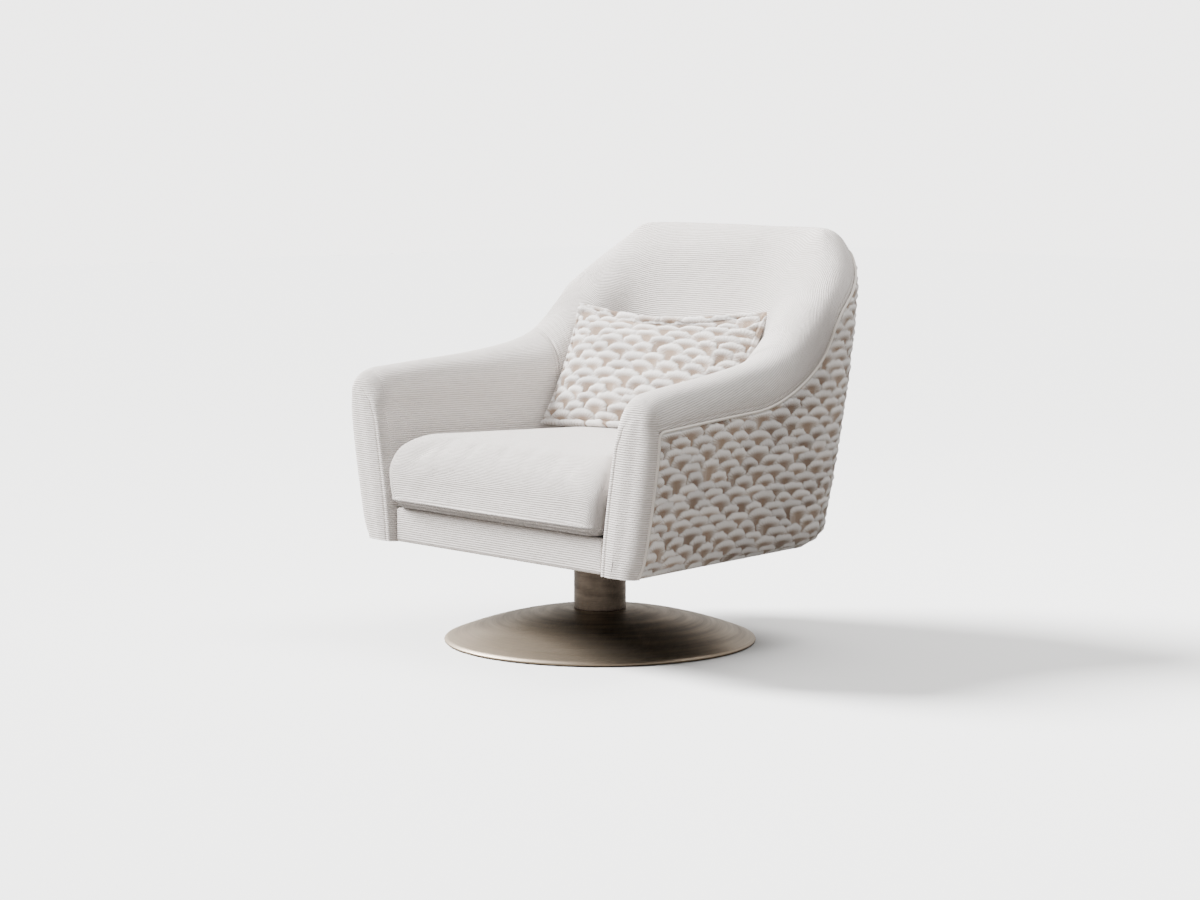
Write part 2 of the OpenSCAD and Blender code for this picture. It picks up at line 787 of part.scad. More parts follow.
module left_arm_front() {
    mirror([1, 0, 0]) right_arm_front();
}

module right_inside_arm() {
    color(cream) loft([for (i = [0 : arm_rings]) pad_ring(arm_at(i) - (i < arm_rings ? 0 : seat_gap))]);
}

module left_inside_arm() {
    mirror([1, 0, 0]) right_inside_arm();
}

module inside_back() {
    color(cream) loft(concat(
        [for (i = [0 : back_rings]) pad_ring(back_at(i))],
        [for (i = [back_rings - 1 : -1 : 0]) pad_ring(back_at(i), -1)]));
}

module right_outside_arm() {
    color(pattern_cloth) loft(concat(
        [for (i = [0 : arm_rings]) skin_ring(arm_at(i))],
        [for (i = [1 : skin_split]) skin_ring(back_at(i) - (i < skin_split ? 0 : seat_gap))]));
}

module left_outside_arm() {
    mirror([1, 0, 0]) right_outside_arm();
}

module outside_back() {
    color(pattern_cloth) loft(concat(
        [for (i = [skin_split : back_rings]) skin_ring(back_at(i))],
        [for (i = [back_rings - 1 : -1 : skin_split]) skin_ring(back_at(i), -1)]));
}

// Welt along the seam, from one front of the shell round to the other
welt_r = 2.5;
welt_rings = 44;
welt_sides = 6;
function welt_mid(l, s) = place(l, outer(l, seam(l)) + welt_r + 2 * seat_gap, seam(l), s);
module seam_welt() {
    half = [for (i = [0 : welt_rings]) along(0, path_l, i, welt_rings)];
    rings = concat(
        [for (l = half) welt_ring(l, 1)],
        [for (i = [welt_rings - 1 : -1 : 0]) welt_ring(half[i], -1)]);
    color(cream) loft(rings);
}
function welt_ring(l, s) = let (
        step = path_l / welt_rings / 2,
        a = welt_mid(max(0, l - step), s),
        b = welt_mid(min(path_l, l + step), s),
        along_dir = (b - a) / norm(b - a) * s,
        out = let (g = guide(l)) [s * cos(g[2]), sin(g[2]), 0],
        up = cross(along_dir, out))
    [for (k = [0 : welt_sides - 1]) let (t = 360 / welt_sides * (k + 0.5) * s)
        welt_mid(l, s) + welt_r * (cos(t) * out + sin(t) * up / norm(up) * s)];

// Loose seat cushion: crowned, its sides follow the arms and the back
cushion_z = deck_top + seat_gap;
cushion_front_y = -front_reach - cushion_nose;
cushion_mid_y = (back_reach - inner_back - front_reach) / 2;
// Each level: share of the thickness, and share by which the outline is drawn in
cushion_level_shares = [[0, 1], [0, 0.3], [0, 0.07], [0.025, 0.022], [0.1, 0.004], [0.25, 0], [0.45, 0],
    [0.63, 0.006], [0.76, 0.022], [0.86, 0.055], [0.93, 0.11], [0.965, 0.2], [0.985, 0.36], [0.995, 0.6],
    [1, 1]];
front_shares = [[0, 0], [0.3, 0], [0.6, 0.02], [0.85, 0.06], [0.94, 0.16], [0.985, 0.42], [1, 0.75]];
side_points = 32;
function cushion_side(l, z, s) = place(l, inner(l, z) - ease_gap, z, s);
function cushion_half(z, s) = let (p = cushion_side(0, z, s)) concat(
    [for (f = front_shares) [p[0] * f[0], mix(cushion_front_y, p[1], f[1]), z]],
    [for (i = [1 : side_points]) cushion_side(path_l * i / side_points, z, s)]);
function cushion_outline(z) = let (a = cushion_half(z, 1), b = cushion_half(z, -1))
    concat(a, [for (i = [len(b) - 2 : -1 : 1]) b[i]]);
function cushion_ring(level) = let (
        z = cushion_z + cushion_t * level[0],
        mid = [0, cushion_mid_y, z])
    [for (p = cushion_outline(z)) mix(p, mid, level[1])];

// Closed stack of rings that run round an upright axis, ending in two points
module stack(rings) {
    n = len(rings[0]);
    m = len(rings);
    inner_rings = [for (j = [1 : m - 2]) rings[j]];
    points = concat([rings[0][0]], [for (r = inner_rings) each r], [rings[m - 1][0]]);
    top = len(points) - 1;
    base = 1 + (m - 3) * n;
    faces = concat(
        [for (i = [0 : n - 1]) [0, 1 + i, 1 + (i + 1) % n]],
        [for (j = [0 : m - 4], i = [0 : n - 1])
            let (a = 1 + j * n + i, b = 1 + j * n + (i + 1) % n) each [[a, a + n, b], [b, a + n, b + n]]],
        [for (i = [0 : n - 1]) [top, base + (i + 1) % n, base + i]]);
    polyhedron(points = points, faces = faces, convexity = 6);
}

core_w = 360;
core_l = 380;
core_share = 0.5;
core_t = cushion_t * core_share;
module core_block(extra) {
    translate([-core_w / 2 - extra, cushion_mid_y - core_l / 2 - extra, cushion_z + cushion_t * 0.2 - extra])
        cube([core_w + 2 * extra, core_l + 2 * extra, core_t + 2 * extra]);
}

module seat_cushion() {
    color(cream) difference() {
        stack([for (level = cushion_level_shares) cushion_ring(level)]);
        core_block(seat_gap);
    }
}

module cushion_core() {
    color(foam) core_block(0);
}

zip_w = 120;
zip_h = 12;
zip_t = 0.6;
module cushion_zip() {
    z = cushion_z + cushion_t * 0.35;
    y = back_reach + inner(path_l, z) - ease_gap + seat_gap;
    color(webbing_black) translate([-zip_w / 2 + zip_h, y, z - zip_h / 2])
        cube([zip_w, zip_t, zip_h]);
}

// Lumbar pillow, leaning on the inside back
pillow_x = -26;
pillow_y = 168;
pillow_turn = 11;
pillow_lean = 28;
pillow_lift = -3;
pillow_z = cushion_z + cushion_t + pillow_h / 2 * cos(pillow_lean) + pillow_lift;
pillow_pinch = 0.06;
pillow_cols = 18;
pillow_rows = 12;
pillow_puff = 0.42;
function pillow_span(i, n) = let (t = 2 * i / n - 1) sin(90 * t);
function pillow_point(u, v, face) = [
    pillow_w / 2 * u * (1 - pillow_pinch * (1 - v * v) * u * u),
    face * pillow_t / 2 * pow(max(0, (1 - u * u) * (1 - v * v)), pillow_puff),
    pillow_h / 2 * v * (1 - pillow_pinch * (1 - u * u) * v * v)];
module on_pillow() {
    translate([pillow_x, pillow_y, pillow_z]) rotate([-pillow_lean, 0, pillow_turn]) children();
}

module pillow_form() {
    front = [for (j = [0 : pillow_rows], i = [0 : pillow_cols])
        pillow_point(pillow_span(i, pillow_cols), pillow_span(j, pillow_rows), -1)];
    back_inner = [for (j = [1 : pillow_rows - 1], i = [1 : pillow_cols - 1])
        pillow_point(pillow_span(i, pillow_cols), pillow_span(j, pillow_rows), 1)];
    w = pillow_cols + 1;
    function f(i, j) = j * w + i;
    function b(i, j) = i == 0 || j == 0 || i == pillow_cols || j == pillow_rows
        ? f(i, j) : len(front) + (j - 1) * (pillow_cols - 1) + i - 1;
    // Each quad is cut along the line that points to the nearest corner of the pillow
    function cut(p00, p10, p01, p11, same) = same
        ? [[p00, p01, p11], [p00, p11, p10]] : [[p00, p01, p10], [p10, p01, p11]];
    faces = [for (j = [0 : pillow_rows - 1], i = [0 : pillow_cols - 1])
        let (same = (2 * i < pillow_cols) == (2 * j < pillow_rows))
        each concat(cut(f(i, j), f(i + 1, j), f(i, j + 1), f(i + 1, j + 1), same),
            [for (t = cut(b(i, j), b(i + 1, j), b(i, j + 1), b(i + 1, j + 1), same)) flipped(t)])];
    polyhedron(points = concat(front, back_inner), faces = faces, convexity = 4);
}

insert_w = pillow_w * 0.6;
insert_h = pillow_h * 0.5;
insert_t = pillow_t * 0.5;
module insert_block(extra) {
    translate([-insert_w / 2 - extra, -insert_t / 2 - extra, -insert_h / 2 - extra])
        cube([insert_w + 2 * extra, insert_t + 2 * extra, insert_h + 2 * extra]);
}

module lumbar_pillow() {
    color(pattern_cloth) on_pillow() difference() {
        pillow_form();
        insert_block(seat_gap);
    }
}

module pillow_insert() {
    color(foam) on_pillow() insert_block(0);
}

felt_disc();
ballast_plate();
base_dome();
column_tube();
column_foot();
centre_bolt();
centre_washer();
column_head();
column_guide();
upper_bushing();
lower_bushing();
lower_race();
bearing_balls();
ball_cage();
upper_race();
swivel_plate();
swivel_spindle();
spindle_washer();
spindle_clip();
plate_bolts();
tee_nuts();
front_cross_rail();
rear_cross_rail();
front_seat_rail();
rear_seat_rail();
left_seat_rail();
right_seat_rail();
corner_blocks();
left_arm_board();
right_arm_board();
left_back_post();
right_back_post();
back_top_rail();
back_middle_rail();
left_corner_brace();
right_corner_brace();
seat_webs();
cross_webs();
deck_pad();
dust_cover();
front_rail_cover();
left_arm_front();
right_arm_front();
left_inside_arm();
right_inside_arm();
inside_back();
left_outside_arm();
right_outside_arm();
outside_back();
seam_welt();
seat_cushion();
cushion_core();
cushion_zip();
lumbar_pillow();
pillow_insert();
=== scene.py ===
# %% [markdown]
# # A pedestal swivel armchair, dressed in two woven cloths
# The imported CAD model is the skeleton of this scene: base, frame, joints and sizes come from it.
# Blender adds what a builder in metal and wood can't draw: cloth, padding, seams and a brushed finish.
# Everything is in metres, and the chair's front looks along -Y.

import math

import bmesh
import bpy
import numpy as np
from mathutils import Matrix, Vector


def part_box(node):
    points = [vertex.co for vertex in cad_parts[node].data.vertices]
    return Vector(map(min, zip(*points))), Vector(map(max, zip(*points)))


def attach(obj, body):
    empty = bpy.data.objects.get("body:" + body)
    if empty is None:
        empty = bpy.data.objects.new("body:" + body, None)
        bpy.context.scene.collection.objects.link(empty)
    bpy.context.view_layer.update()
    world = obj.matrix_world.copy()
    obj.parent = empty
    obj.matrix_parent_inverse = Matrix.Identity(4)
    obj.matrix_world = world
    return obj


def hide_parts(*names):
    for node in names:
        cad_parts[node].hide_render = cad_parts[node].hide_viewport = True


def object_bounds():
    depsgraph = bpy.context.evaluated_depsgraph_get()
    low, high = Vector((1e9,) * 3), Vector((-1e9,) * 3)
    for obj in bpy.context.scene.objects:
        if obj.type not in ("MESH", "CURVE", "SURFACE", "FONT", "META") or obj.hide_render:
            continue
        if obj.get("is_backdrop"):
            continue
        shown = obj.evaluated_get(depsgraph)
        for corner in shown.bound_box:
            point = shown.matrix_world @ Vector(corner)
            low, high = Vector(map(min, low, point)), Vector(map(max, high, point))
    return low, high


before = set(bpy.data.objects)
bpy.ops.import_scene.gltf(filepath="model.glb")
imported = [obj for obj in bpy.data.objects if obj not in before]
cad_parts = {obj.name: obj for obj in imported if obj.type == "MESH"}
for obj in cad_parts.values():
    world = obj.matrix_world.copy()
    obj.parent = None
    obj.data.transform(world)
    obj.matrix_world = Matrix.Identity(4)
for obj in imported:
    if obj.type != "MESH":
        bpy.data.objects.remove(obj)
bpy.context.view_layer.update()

# %% [markdown]
# ## Helpers
# A colour picked on screen is an sRGB hex value, and shaders work in linear light, so one function
# turns one into the other. Node trees are built with one small function that adds a node, sets it
# and links it, which keeps each material readable as a list of steps.

# %% Colours and nodes
def colour(text):
    parts = [int(text[i:i + 2], 16) / 255 for i in (1, 3, 5)]
    return tuple(c / 12.92 if c <= 0.04045 else ((c + 0.055) / 1.055) ** 2.4 for c in parts) + (1.0,)


def add(tree, kind, inputs=None, **settings):
    """A new node. An input is a value, a socket to link, or a node whose first output is linked."""
    node = tree.nodes.new(kind)
    for name, value in settings.items():
        setattr(node, name, value)
    for name, value in (inputs or {}).items():
        if isinstance(value, bpy.types.Node):
            value = value.outputs[0]
        if isinstance(value, bpy.types.NodeSocket):
            tree.links.new(value, node.inputs[name])
        else:
            node.inputs[name].default_value = value
    return node


def new_material(name):
    made = bpy.data.materials.new(name)
    made.use_nodes = True
    made.node_tree.nodes.clear()
    return made, made.node_tree


print("mid grey on screen, in linear light:", round(colour("#808080")[0], 3))

# %% [markdown]
# ## The camera
# The photograph was taken from a little above seat height with a long lens, so the chair hardly
# converges. The angle came from the ellipse of the base disc and the slopes of the seat.

# %% Camera
CAMERA_AT, AZIMUTH, PITCH, LENS_MM = (4.317, -3.887, 1.0086), 48.0, 6.2355, 90.0


def linked(name, data):
    made = bpy.data.objects.new(name, data)
    bpy.context.scene.collection.objects.link(made)
    return made


lens = bpy.data.cameras.new("camera")
lens.lens, lens.sensor_width, lens.clip_start, lens.clip_end = LENS_MM, 36.0, 0.05, 60.0
camera = linked("camera", lens)
camera.location = CAMERA_AT
camera.rotation_euler = (math.radians(90 - PITCH), 0.0, math.radians(AZIMUTH))
bpy.context.scene.camera = camera
print("camera:", [round(c, 3) for c in camera.location])

# %% [markdown]
# ## The studio
# A wide pale floor and one large soft key light, to the left of the camera and in front of the chair,
# so that the seat and the back are bright and the near side falls into a soft shade. The air gives the
# rest, brighter from the key's side, as a white studio does. The floor's paper throws back less light
# than it shows, as if black flags stood round the chair: that keeps the near side's shade.

# %% Floor and lights
FLOOR_HALF, SEEN_AIR = 14.0, 4.0


def stage_floor():
    mesh = bpy.data.meshes.new("floor")
    corners = [(x * FLOOR_HALF, y * FLOOR_HALF, 0.0) for x, y in ((-1, -1), (1, -1), (1, 1), (-1, 1))]
    mesh.from_pydata(corners, [], [(0, 1, 2, 3)])
    paint, tree = new_material("pale_studio_paper")
    seen = add(tree, "ShaderNodeLightPath").outputs["Is Camera Ray"]
    paper = add(tree, "ShaderNodeMix", {0: seen, "A": colour("#807d7a"), "B": colour("#fcfcfb")},
                data_type="RGBA").outputs[2]
    shader = add(tree, "ShaderNodeBsdfPrincipled", {
        "Base Color": paper, "Roughness": 0.9, "Specular IOR Level": 0.1})
    add(tree, "ShaderNodeOutputMaterial", {"Surface": shader})
    mesh.materials.append(paint)
    linked("floor", mesh)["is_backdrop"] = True


def lamp(kind, name, at, target, energy, **settings):
    data = bpy.data.lights.new(name, kind)
    data.energy = energy
    for setting, value in settings.items():
        setattr(data, setting, value)
    made = linked(name, data)
    made.location = at
    made.rotation_euler = (Vector(target) - Vector(at)).to_track_quat("-Z", "Y").to_euler()


def studio_air():
    """A sky that is brighter towards the key, and paler still where the camera sees it."""
    world = bpy.data.worlds.new("studio_air")
    bpy.context.scene.world = world
    world.use_nodes = True
    air = world.node_tree
    air.nodes.clear()
    direction = add(air, "ShaderNodeTexCoord").outputs["Generated"]
    toward_key = add(air, "ShaderNodeVectorMath", {0: direction, 1: (-0.46, -0.22, 0.70)},
                     operation="DOT_PRODUCT").outputs["Value"]
    seen = add(air, "ShaderNodeLightPath").outputs["Is Camera Ray"]
    shade = add(air, "ShaderNodeMapRange", {"Value": toward_key, "From Min": -0.6, "From Max": 0.7,
                                            "To Min": 0.08, "To Max": 1.0})
    level = add(air, "ShaderNodeMix", {0: seen, "A": shade, "B": SEEN_AIR})
    sky = add(air, "ShaderNodeBackground", {"Color": (1.0, 0.985, 0.97, 1.0), "Strength": level})
    add(air, "ShaderNodeOutputWorld", {"Surface": sky})


stage_floor()
lamp("SUN", "key_panel", (-4.4, -2.3, 3.9), (0.0, 0.0, 0.0), 16.5, angle=math.radians(24))
lamp("AREA", "top_panel", (0.5, 1.3, 3.3), (0.0, 0.0, 0.5), 95.0, size=1.8)
studio_air()

# %% [markdown]
# ## The shell as formulas
# The shell is one wall that follows a plan: a straight side, a round rear corner and a straight back.
# A point of it is given by its length along the plan, its offset outwards and its height. The same
# formulas made the solids, so the cloth lies exactly where the padding is.

# %% Plan and section of the shell
HALF_FRONT, FRONT_REACH, BACK_REACH = 0.392, 0.265, 0.326
TOE, CORNER_R = math.radians(10.6), 0.120
SHELL_Z, ARM_H, BACK_H = 0.188, 0.522, 0.804
SIDE_LEAN, BACK_LEAN, SIDE_LEAN_H, BACK_LEAN_H = 0.046, 0.068, 0.262, 0.512
TUCK_H, SIDE_TUCK, BACK_TUCK = 0.045, 0.010, 0.034
CREST_ROUND, ROLL_IN, ROLL_OUT, ROLL_OUT_MORE = 0.050, 0.068, 0.052, 0.016
CORNER_Y = BACK_REACH - CORNER_R
CORNER_X = HALF_FRONT - (CORNER_R + (CORNER_Y + FRONT_REACH) * math.sin(TOE)) / math.cos(TOE)
SIDE_L = (CORNER_Y + FRONT_REACH + CORNER_R * math.sin(TOE)) / math.cos(TOE)
TURN_L = CORNER_R * (math.pi / 2 - TOE)
PATH_L = SIDE_L + TURN_L + CORNER_X
CORNER_MID = SIDE_L + TURN_L / 2
BLEND_START = 0.100


def smooth(t):
    u = np.clip(t, 0.0, 1.0)
    return u * u * (3 - 2 * u)


def soft_max(a, b, k):
    return (a + b + np.sqrt((a - b) ** 2 + k * k)) / 2


def soft_min(a, b, k):
    return (a + b - np.sqrt((a - b) ** 2 + k * k)) / 2


def mix(a, b, t):
    return a + (b - a) * t


def hump(d, width):
    return np.exp(-((d / width) ** 2))


def round_in(t):
    return 1 - np.sqrt(1 - np.clip(t, 0, 1) ** 2)


def place(l, off, z, side=1.0):
    """Points of the shell, from length along the plan, offset outwards and height."""
    l = np.asarray(l, float)
    turned = TOE + np.clip((l - SIDE_L) / CORNER_R, 0.0, math.pi / 2 - TOE)
    gx = (HALF_FRONT - math.sin(TOE) * np.minimum(l, SIDE_L) + CORNER_R * (np.cos(turned) - math.cos(TOE))
          - np.maximum(0.0, l - SIDE_L - TURN_L))
    gy = (math.cos(TOE) * np.minimum(l, SIDE_L) - FRONT_REACH
          + CORNER_R * (np.sin(turned) - math.sin(TOE)))
    square = off * math.tan(TOE) * np.maximum(0.0, 1 - np.maximum(l, 0.0) / CORNER_R) ** 2
    x = side * (gx + off * np.cos(turned) + square * math.sin(TOE))
    y = gy + off * np.sin(turned) - square * math.cos(TOE)
    return np.stack(np.broadcast_arrays(x, y, z), -1)


def back_share(l):
    return smooth((l - BLEND_START) / (CORNER_MID - BLEND_START))


def outer_face(l, z):
    """The outside without its rounded crest: it leans out, and tucks in at the foot."""
    up, foot = z - SHELL_Z, 1 - np.clip((z - SHELL_Z) / TUCK_H, 0, 1)
    side, back = (reach * (1 - (1 - np.clip(up / height, 0, 1)) ** curve) + tuck * (1 - foot ** 2)
                  for reach, height, curve, tuck in ((SIDE_LEAN, SIDE_LEAN_H, 1.3, SIDE_TUCK),
                                                     (BACK_LEAN, BACK_LEAN_H, 1.4, BACK_TUCK)))
    return mix(side, back, back_share(l))


def crest(l):
    """Height of the top edge: the arm, the sweep up to the wing, and the flat back."""
    return soft_min(soft_max(ARM_H + 0.09 * l, 0.686 + 1.19 * (l - 0.515), 0.064), BACK_H, 0.009)


def seam(l):
    """Height of the welt, which follows the crest some way below it."""
    u = np.maximum(0.0, (l - 0.280) / 0.250)
    sweep = 0.464 + 0.05 * l + 0.120 * u ** 2 + 0.165 * np.minimum(u, 1.1) ** 12
    return soft_min(sweep, crest(l) - 0.042, 0.020)


def outer(l, z):
    roll = ROLL_OUT + ROLL_OUT_MORE * back_share(l)
    return outer_face(l, z) - CREST_ROUND * round_in((z - crest(l) + roll) / roll)


def inner(l, z):
    side = mix(-0.089, -0.050, np.clip((z - SHELL_Z) / SIDE_LEAN_H, 0, 1) ** 1.3)
    rear = 0.27 * soft_max(0.0, z - 0.420, 0.030) - 0.097
    face = mix(side, rear, back_share(l)) - 0.015 * hump(l - CORNER_MID, 0.095)
    crest_off = outer_face(l, crest(l)) - CREST_ROUND
    return mix(face, crest_off, round_in((z - crest(l) + ROLL_IN) / ROLL_IN))


print("plan length of half the shell:", round(PATH_L, 4), "m; crest at the back:", round(float(crest(PATH_L)), 4))

# %% [markdown]
# ## Turning grids of points into closed pads
# A padded panel is a fine grid on the side that shows and a coarse grid behind it. The two grids are
# zipped together round their borders, so every panel is one closed solid, as a cushion maker's pad is.
# Modelling in numbers was chosen over sculpting because the cloth must meet the frame to a tenth of a
# millimetre, and a grid also carries the cloth's own coordinates, in metres, as its UV map.

# %% Meshes
def quads(index):
    a, b, c, d = index[:-1, :-1], index[1:, :-1], index[1:, 1:], index[:-1, 1:]
    return np.stack([a, b, c, d], -1).reshape(-1, 4).tolist()


def numbered(shape, first=0):
    return first + np.arange(shape[0] * shape[1]).reshape(shape[:2])


def zip_rows(a, b):
    """Triangles between two rows of point numbers that may differ in count."""
    faces, i, j = [], 0, 0
    while i < len(a) - 1 or j < len(b) - 1:
        if j == len(b) - 1 or (i < len(a) - 1 and (i + 1) * (len(b) - 1) <= (j + 1) * (len(a) - 1)):
            faces.append((a[i], a[i + 1], b[j]))
            i += 1
        else:
            faces.append((a[i], b[j + 1], b[j]))
            j += 1
    return faces


def outwards(work):
    bmesh.ops.recalc_face_normals(work, faces=work.faces)


def worked(mesh, *jobs):
    """Runs jobs on an editable copy of a mesh and writes it back."""
    work = bmesh.new()
    work.from_mesh(mesh)
    for job in jobs:
        job(work)
    work.to_mesh(mesh)
    work.free()


def lay_cloth(mesh, uv):
    """Gives each point its place on the cloth, in metres, as the UV map."""
    corner = np.zeros(len(mesh.loops), np.int32)
    mesh.loops.foreach_get("vertex_index", corner)
    layer = mesh.uv_layers.get("cloth") or mesh.uv_layers.new(name="cloth")
    layer.data.foreach_set("uv", np.asarray(uv, np.float32)[corner].ravel())


def to_mesh(name, points, faces, uv=None, sharp=60, fields=None):
    """A mesh object at the origin, facing outwards, smooth except over edges sharper than the angle."""
    mesh = bpy.data.meshes.new(name)
    mesh.from_pydata(np.asarray(points, float).tolist(), [], faces)
    if uv is not None:
        lay_cloth(mesh, uv)
    worked(mesh, outwards)
    mesh.polygons.foreach_set("use_smooth", [True] * len(mesh.polygons))
    mesh.set_sharp_from_angle(angle=math.radians(sharp))
    for field, values in (fields or {}).items():
        layer = mesh.attributes.new(field, "FLOAT", "POINT")
        layer.data.foreach_set("value", values.astype(np.float32))
    return linked(name, mesh)


print("a grid of 3 by 4 points has", len(quads(numbered((3, 4)))), "faces")

# %% Panels
EDGE_STEP, EDGE_BAND = 0.0015, 0.014


def matching(first, second):
    """Rows and columns of the first grid that lie nearest to those of the second."""
    return np.ix_(*(np.linspace(0, n - 1, m).round().astype(int)
                    for n, m in zip(first.shape[:2], second.shape[:2])))


def normals_of(grid, behind):
    """Unit normals of a grid of points, on the side away from the points behind it."""
    n = np.cross(np.gradient(grid, axis=0), np.gradient(grid, axis=1))
    n /= np.maximum(np.linalg.norm(n, axis=-1, keepdims=True), 1e-12)
    towards = np.sum(n * (grid - behind[matching(behind, grid)]), -1)
    return n if np.mean(towards) > 0 else -n


def panel(name, front, behind, uv, relief, fields=None):
    """A closed pad: the front grid, moved out by its relief, zipped to the coarse grid behind it."""
    front = front + normals_of(front, behind) * relief[..., None]
    f = numbered(front.shape)
    b = numbered(behind.shape, f.size)
    faces = quads(f) + [q[::-1] for q in quads(b)]
    for rim, back_rim in ((f[0], b[0]), (f[-1], b[-1]), (f[:, 0], b[:, 0]), (f[:, -1], b[:, -1])):
        faces += zip_rows(rim.tolist(), back_rim.tolist())
    uvs = np.concatenate([uv.reshape(-1, 2), uv[matching(front, behind)].reshape(-1, 2)])
    fields = {k: np.concatenate([v.ravel(), np.zeros(b.size)]) for k, v in (fields or {}).items()}
    points = np.concatenate([front.reshape(-1, 3), behind.reshape(-1, 3)])
    return to_mesh(name, points, faces, uvs, fields=fields)


def graded(start, end, step):
    """Places from start to end, close together near the ends, where seams are."""
    first = np.arange(start, start + EDGE_BAND, EDGE_STEP)
    last = np.arange(end - EDGE_BAND, end + EDGE_STEP / 2, EDGE_STEP)
    middle = np.linspace(first[-1], last[0], max(3, int(round((last[0] - first[-1]) / step)) + 1))
    return np.concatenate([first[:-1], middle, last[1:-1], [end]])


def edge_roll(d, radius, depth):
    """Cloth turning in towards a seam at distance d."""
    return -depth * round_in(1 - d / radius)


def ripples(u, v, height, lengths, seed):
    """Slow unevenness of hand-pulled cloth: a few waves with seeded directions."""
    rng = np.random.default_rng(seed)
    total = np.zeros(np.broadcast(u, v).shape)
    for length in lengths:
        turn, phase = rng.uniform(0, math.pi), rng.uniform(0, 2 * math.pi)
        total += np.sin((u * math.cos(turn) + v * math.sin(turn)) * 2 * math.pi / length + phase)
    return height * total / len(lengths)


print("places along 100 mm between two seams:", len(graded(0.0, 0.1, 0.0055)))

# %% [markdown]
# ## The cream cloth
# Real cloth: a wool-like bouclé weave with a horizontal rib every four millimetres, crossed by finer
# threads. The eye sees soft rows that catch the light, no shine, and a faint sheen at grazing angles.
# A weave is a bump with a little colour in it: darker between the threads, where light is trapped.

# %% Cream ribbed weave
RIB, CROSS = 0.0043, 0.0026


def wave(tree, value, pitch, wobble=None):
    """A thread profile from 0 to 1 that repeats every pitch metres."""
    turns = add(tree, "ShaderNodeMath", {0: value, 1: 2 * math.pi / pitch}, operation="MULTIPLY")
    if wobble is not None:
        turns = add(tree, "ShaderNodeMath", {0: turns, 1: wobble}, operation="ADD")
    sine = add(tree, "ShaderNodeMath", {0: turns}, operation="SINE")
    return add(tree, "ShaderNodeMath", {0: sine, 1: 0.5, 2: 0.5}, operation="MULTIPLY_ADD")


def ribbed_cloth(name, light, dark, rib_depth):
    made, tree = new_material(name)
    uv = add(tree, "ShaderNodeUVMap", uv_map="cloth")
    lies = add(tree, "ShaderNodeSeparateXYZ", {0: uv}).outputs
    slubs = add(tree, "ShaderNodeMapping", {"Vector": uv, "Scale": (45.0, 420.0, 1.0)})
    slub = add(tree, "ShaderNodeTexNoise", {"Vector": slubs, "Scale": 1.0})
    wobble = add(tree, "ShaderNodeMath", {0: slub, 1: 2.6}, operation="MULTIPLY")
    rib, cross = wave(tree, lies["Y"], RIB, wobble), wave(tree, lies["X"], CROSS, wobble)
    woven = add(tree, "ShaderNodeMath", {0: cross, 1: 0.30, 2: rib}, operation="MULTIPLY_ADD")
    fuzz = add(tree, "ShaderNodeTexNoise", {"Vector": uv, "Scale": 900.0, "Detail": 3.0})
    height = add(tree, "ShaderNodeMath", {0: fuzz, 1: 0.9, 2: woven}, operation="MULTIPLY_ADD")
    tone = add(tree, "ShaderNodeMapRange", {"Value": height, "From Min": 0.25, "From Max": 1.25})
    paint = add(tree, "ShaderNodeMix", {0: tone, "A": colour(dark), "B": colour(light)}, data_type="RGBA")
    bump = add(tree, "ShaderNodeBump", {"Height": height, "Strength": 1.0, "Distance": rib_depth})
    shader = add(tree, "ShaderNodeBsdfPrincipled", {
        "Base Color": paint.outputs[2], "Normal": bump, "Roughness": 0.92, "Specular IOR Level": 0.2,
        "Sheen Weight": 0.15, "Sheen Roughness": 0.5})
    add(tree, "ShaderNodeOutputMaterial", {"Surface": shader})
    return made


cream = ribbed_cloth("cream_ribbed_weave", "#eae4e0", "#a79d94", 0.0012)
piping = ribbed_cloth("cream_bias_piping", "#e4ded7", "#c2b9ae", 0.0003)
print("materials:", cream.name, piping.name)


def dress(obj, material, body, replaced=()):
    """Gives a finished piece its material, puts it on its body and hides the CAD parts it replaces."""
    obj.data.materials.clear()
    obj.data.materials.append(material)
    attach(obj, body)
    if replaced:
        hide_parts(*replaced)
    print(obj.name, len(obj.data.polygons), "faces")
    return obj


# %% [markdown]
# ## The padding of the arms and the inside back
# On the real chair, foam over webbing is covered in three pieces of cream cloth. Each runs from the
# seat up the inside, over the rounded top, and down to the seam with the patterned cloth. The pieces
# meet in a sewn groove inside each arm. The section is worked out for many places along the plan.

# %% Sections of the padding
PAD_Z, SPLIT_L = 0.235, SIDE_L * 0.8
FRONT_T, NOSE_OUT = 0.004, 0.014
FRAME_Z, POST_TILT, RAIL_T = 0.191, math.radians(12), 0.022
POST_FOOT_Y = CORNER_Y + 0.016 + RAIL_T
EDGE_R = 0.006


def run_of(path):
    """Length along a line of points, at each point."""
    return np.concatenate([[0], np.cumsum(np.linalg.norm(np.diff(path, axis=0), axis=1))])


def at_runs(t, run, *lines):
    """Values of lines at lengths t, where each line's points lie at the lengths in run."""
    return [np.interp(t, run, line) for line in lines]


def section(l):
    """The padding's outline at length l, inside bottom to outside seam: offsets, heights, lengths."""
    top, a = crest(l), np.linspace(0, math.pi / 2, 40)
    z_in = np.concatenate([np.linspace(PAD_Z, top - ROLL_IN, 50), (top - ROLL_IN * (1 - np.sin(a)))[1:]])
    z_out = (top - (top - seam(l)) * (1 - np.sin(a[::-1])))[1:]
    z, off = np.concatenate([z_in, z_out]), np.concatenate([inner(l, z_in), outer(l, z_out)])
    run = run_of(np.stack([off, z], -1))
    return off, z, run, run[len(z_in) - 1]


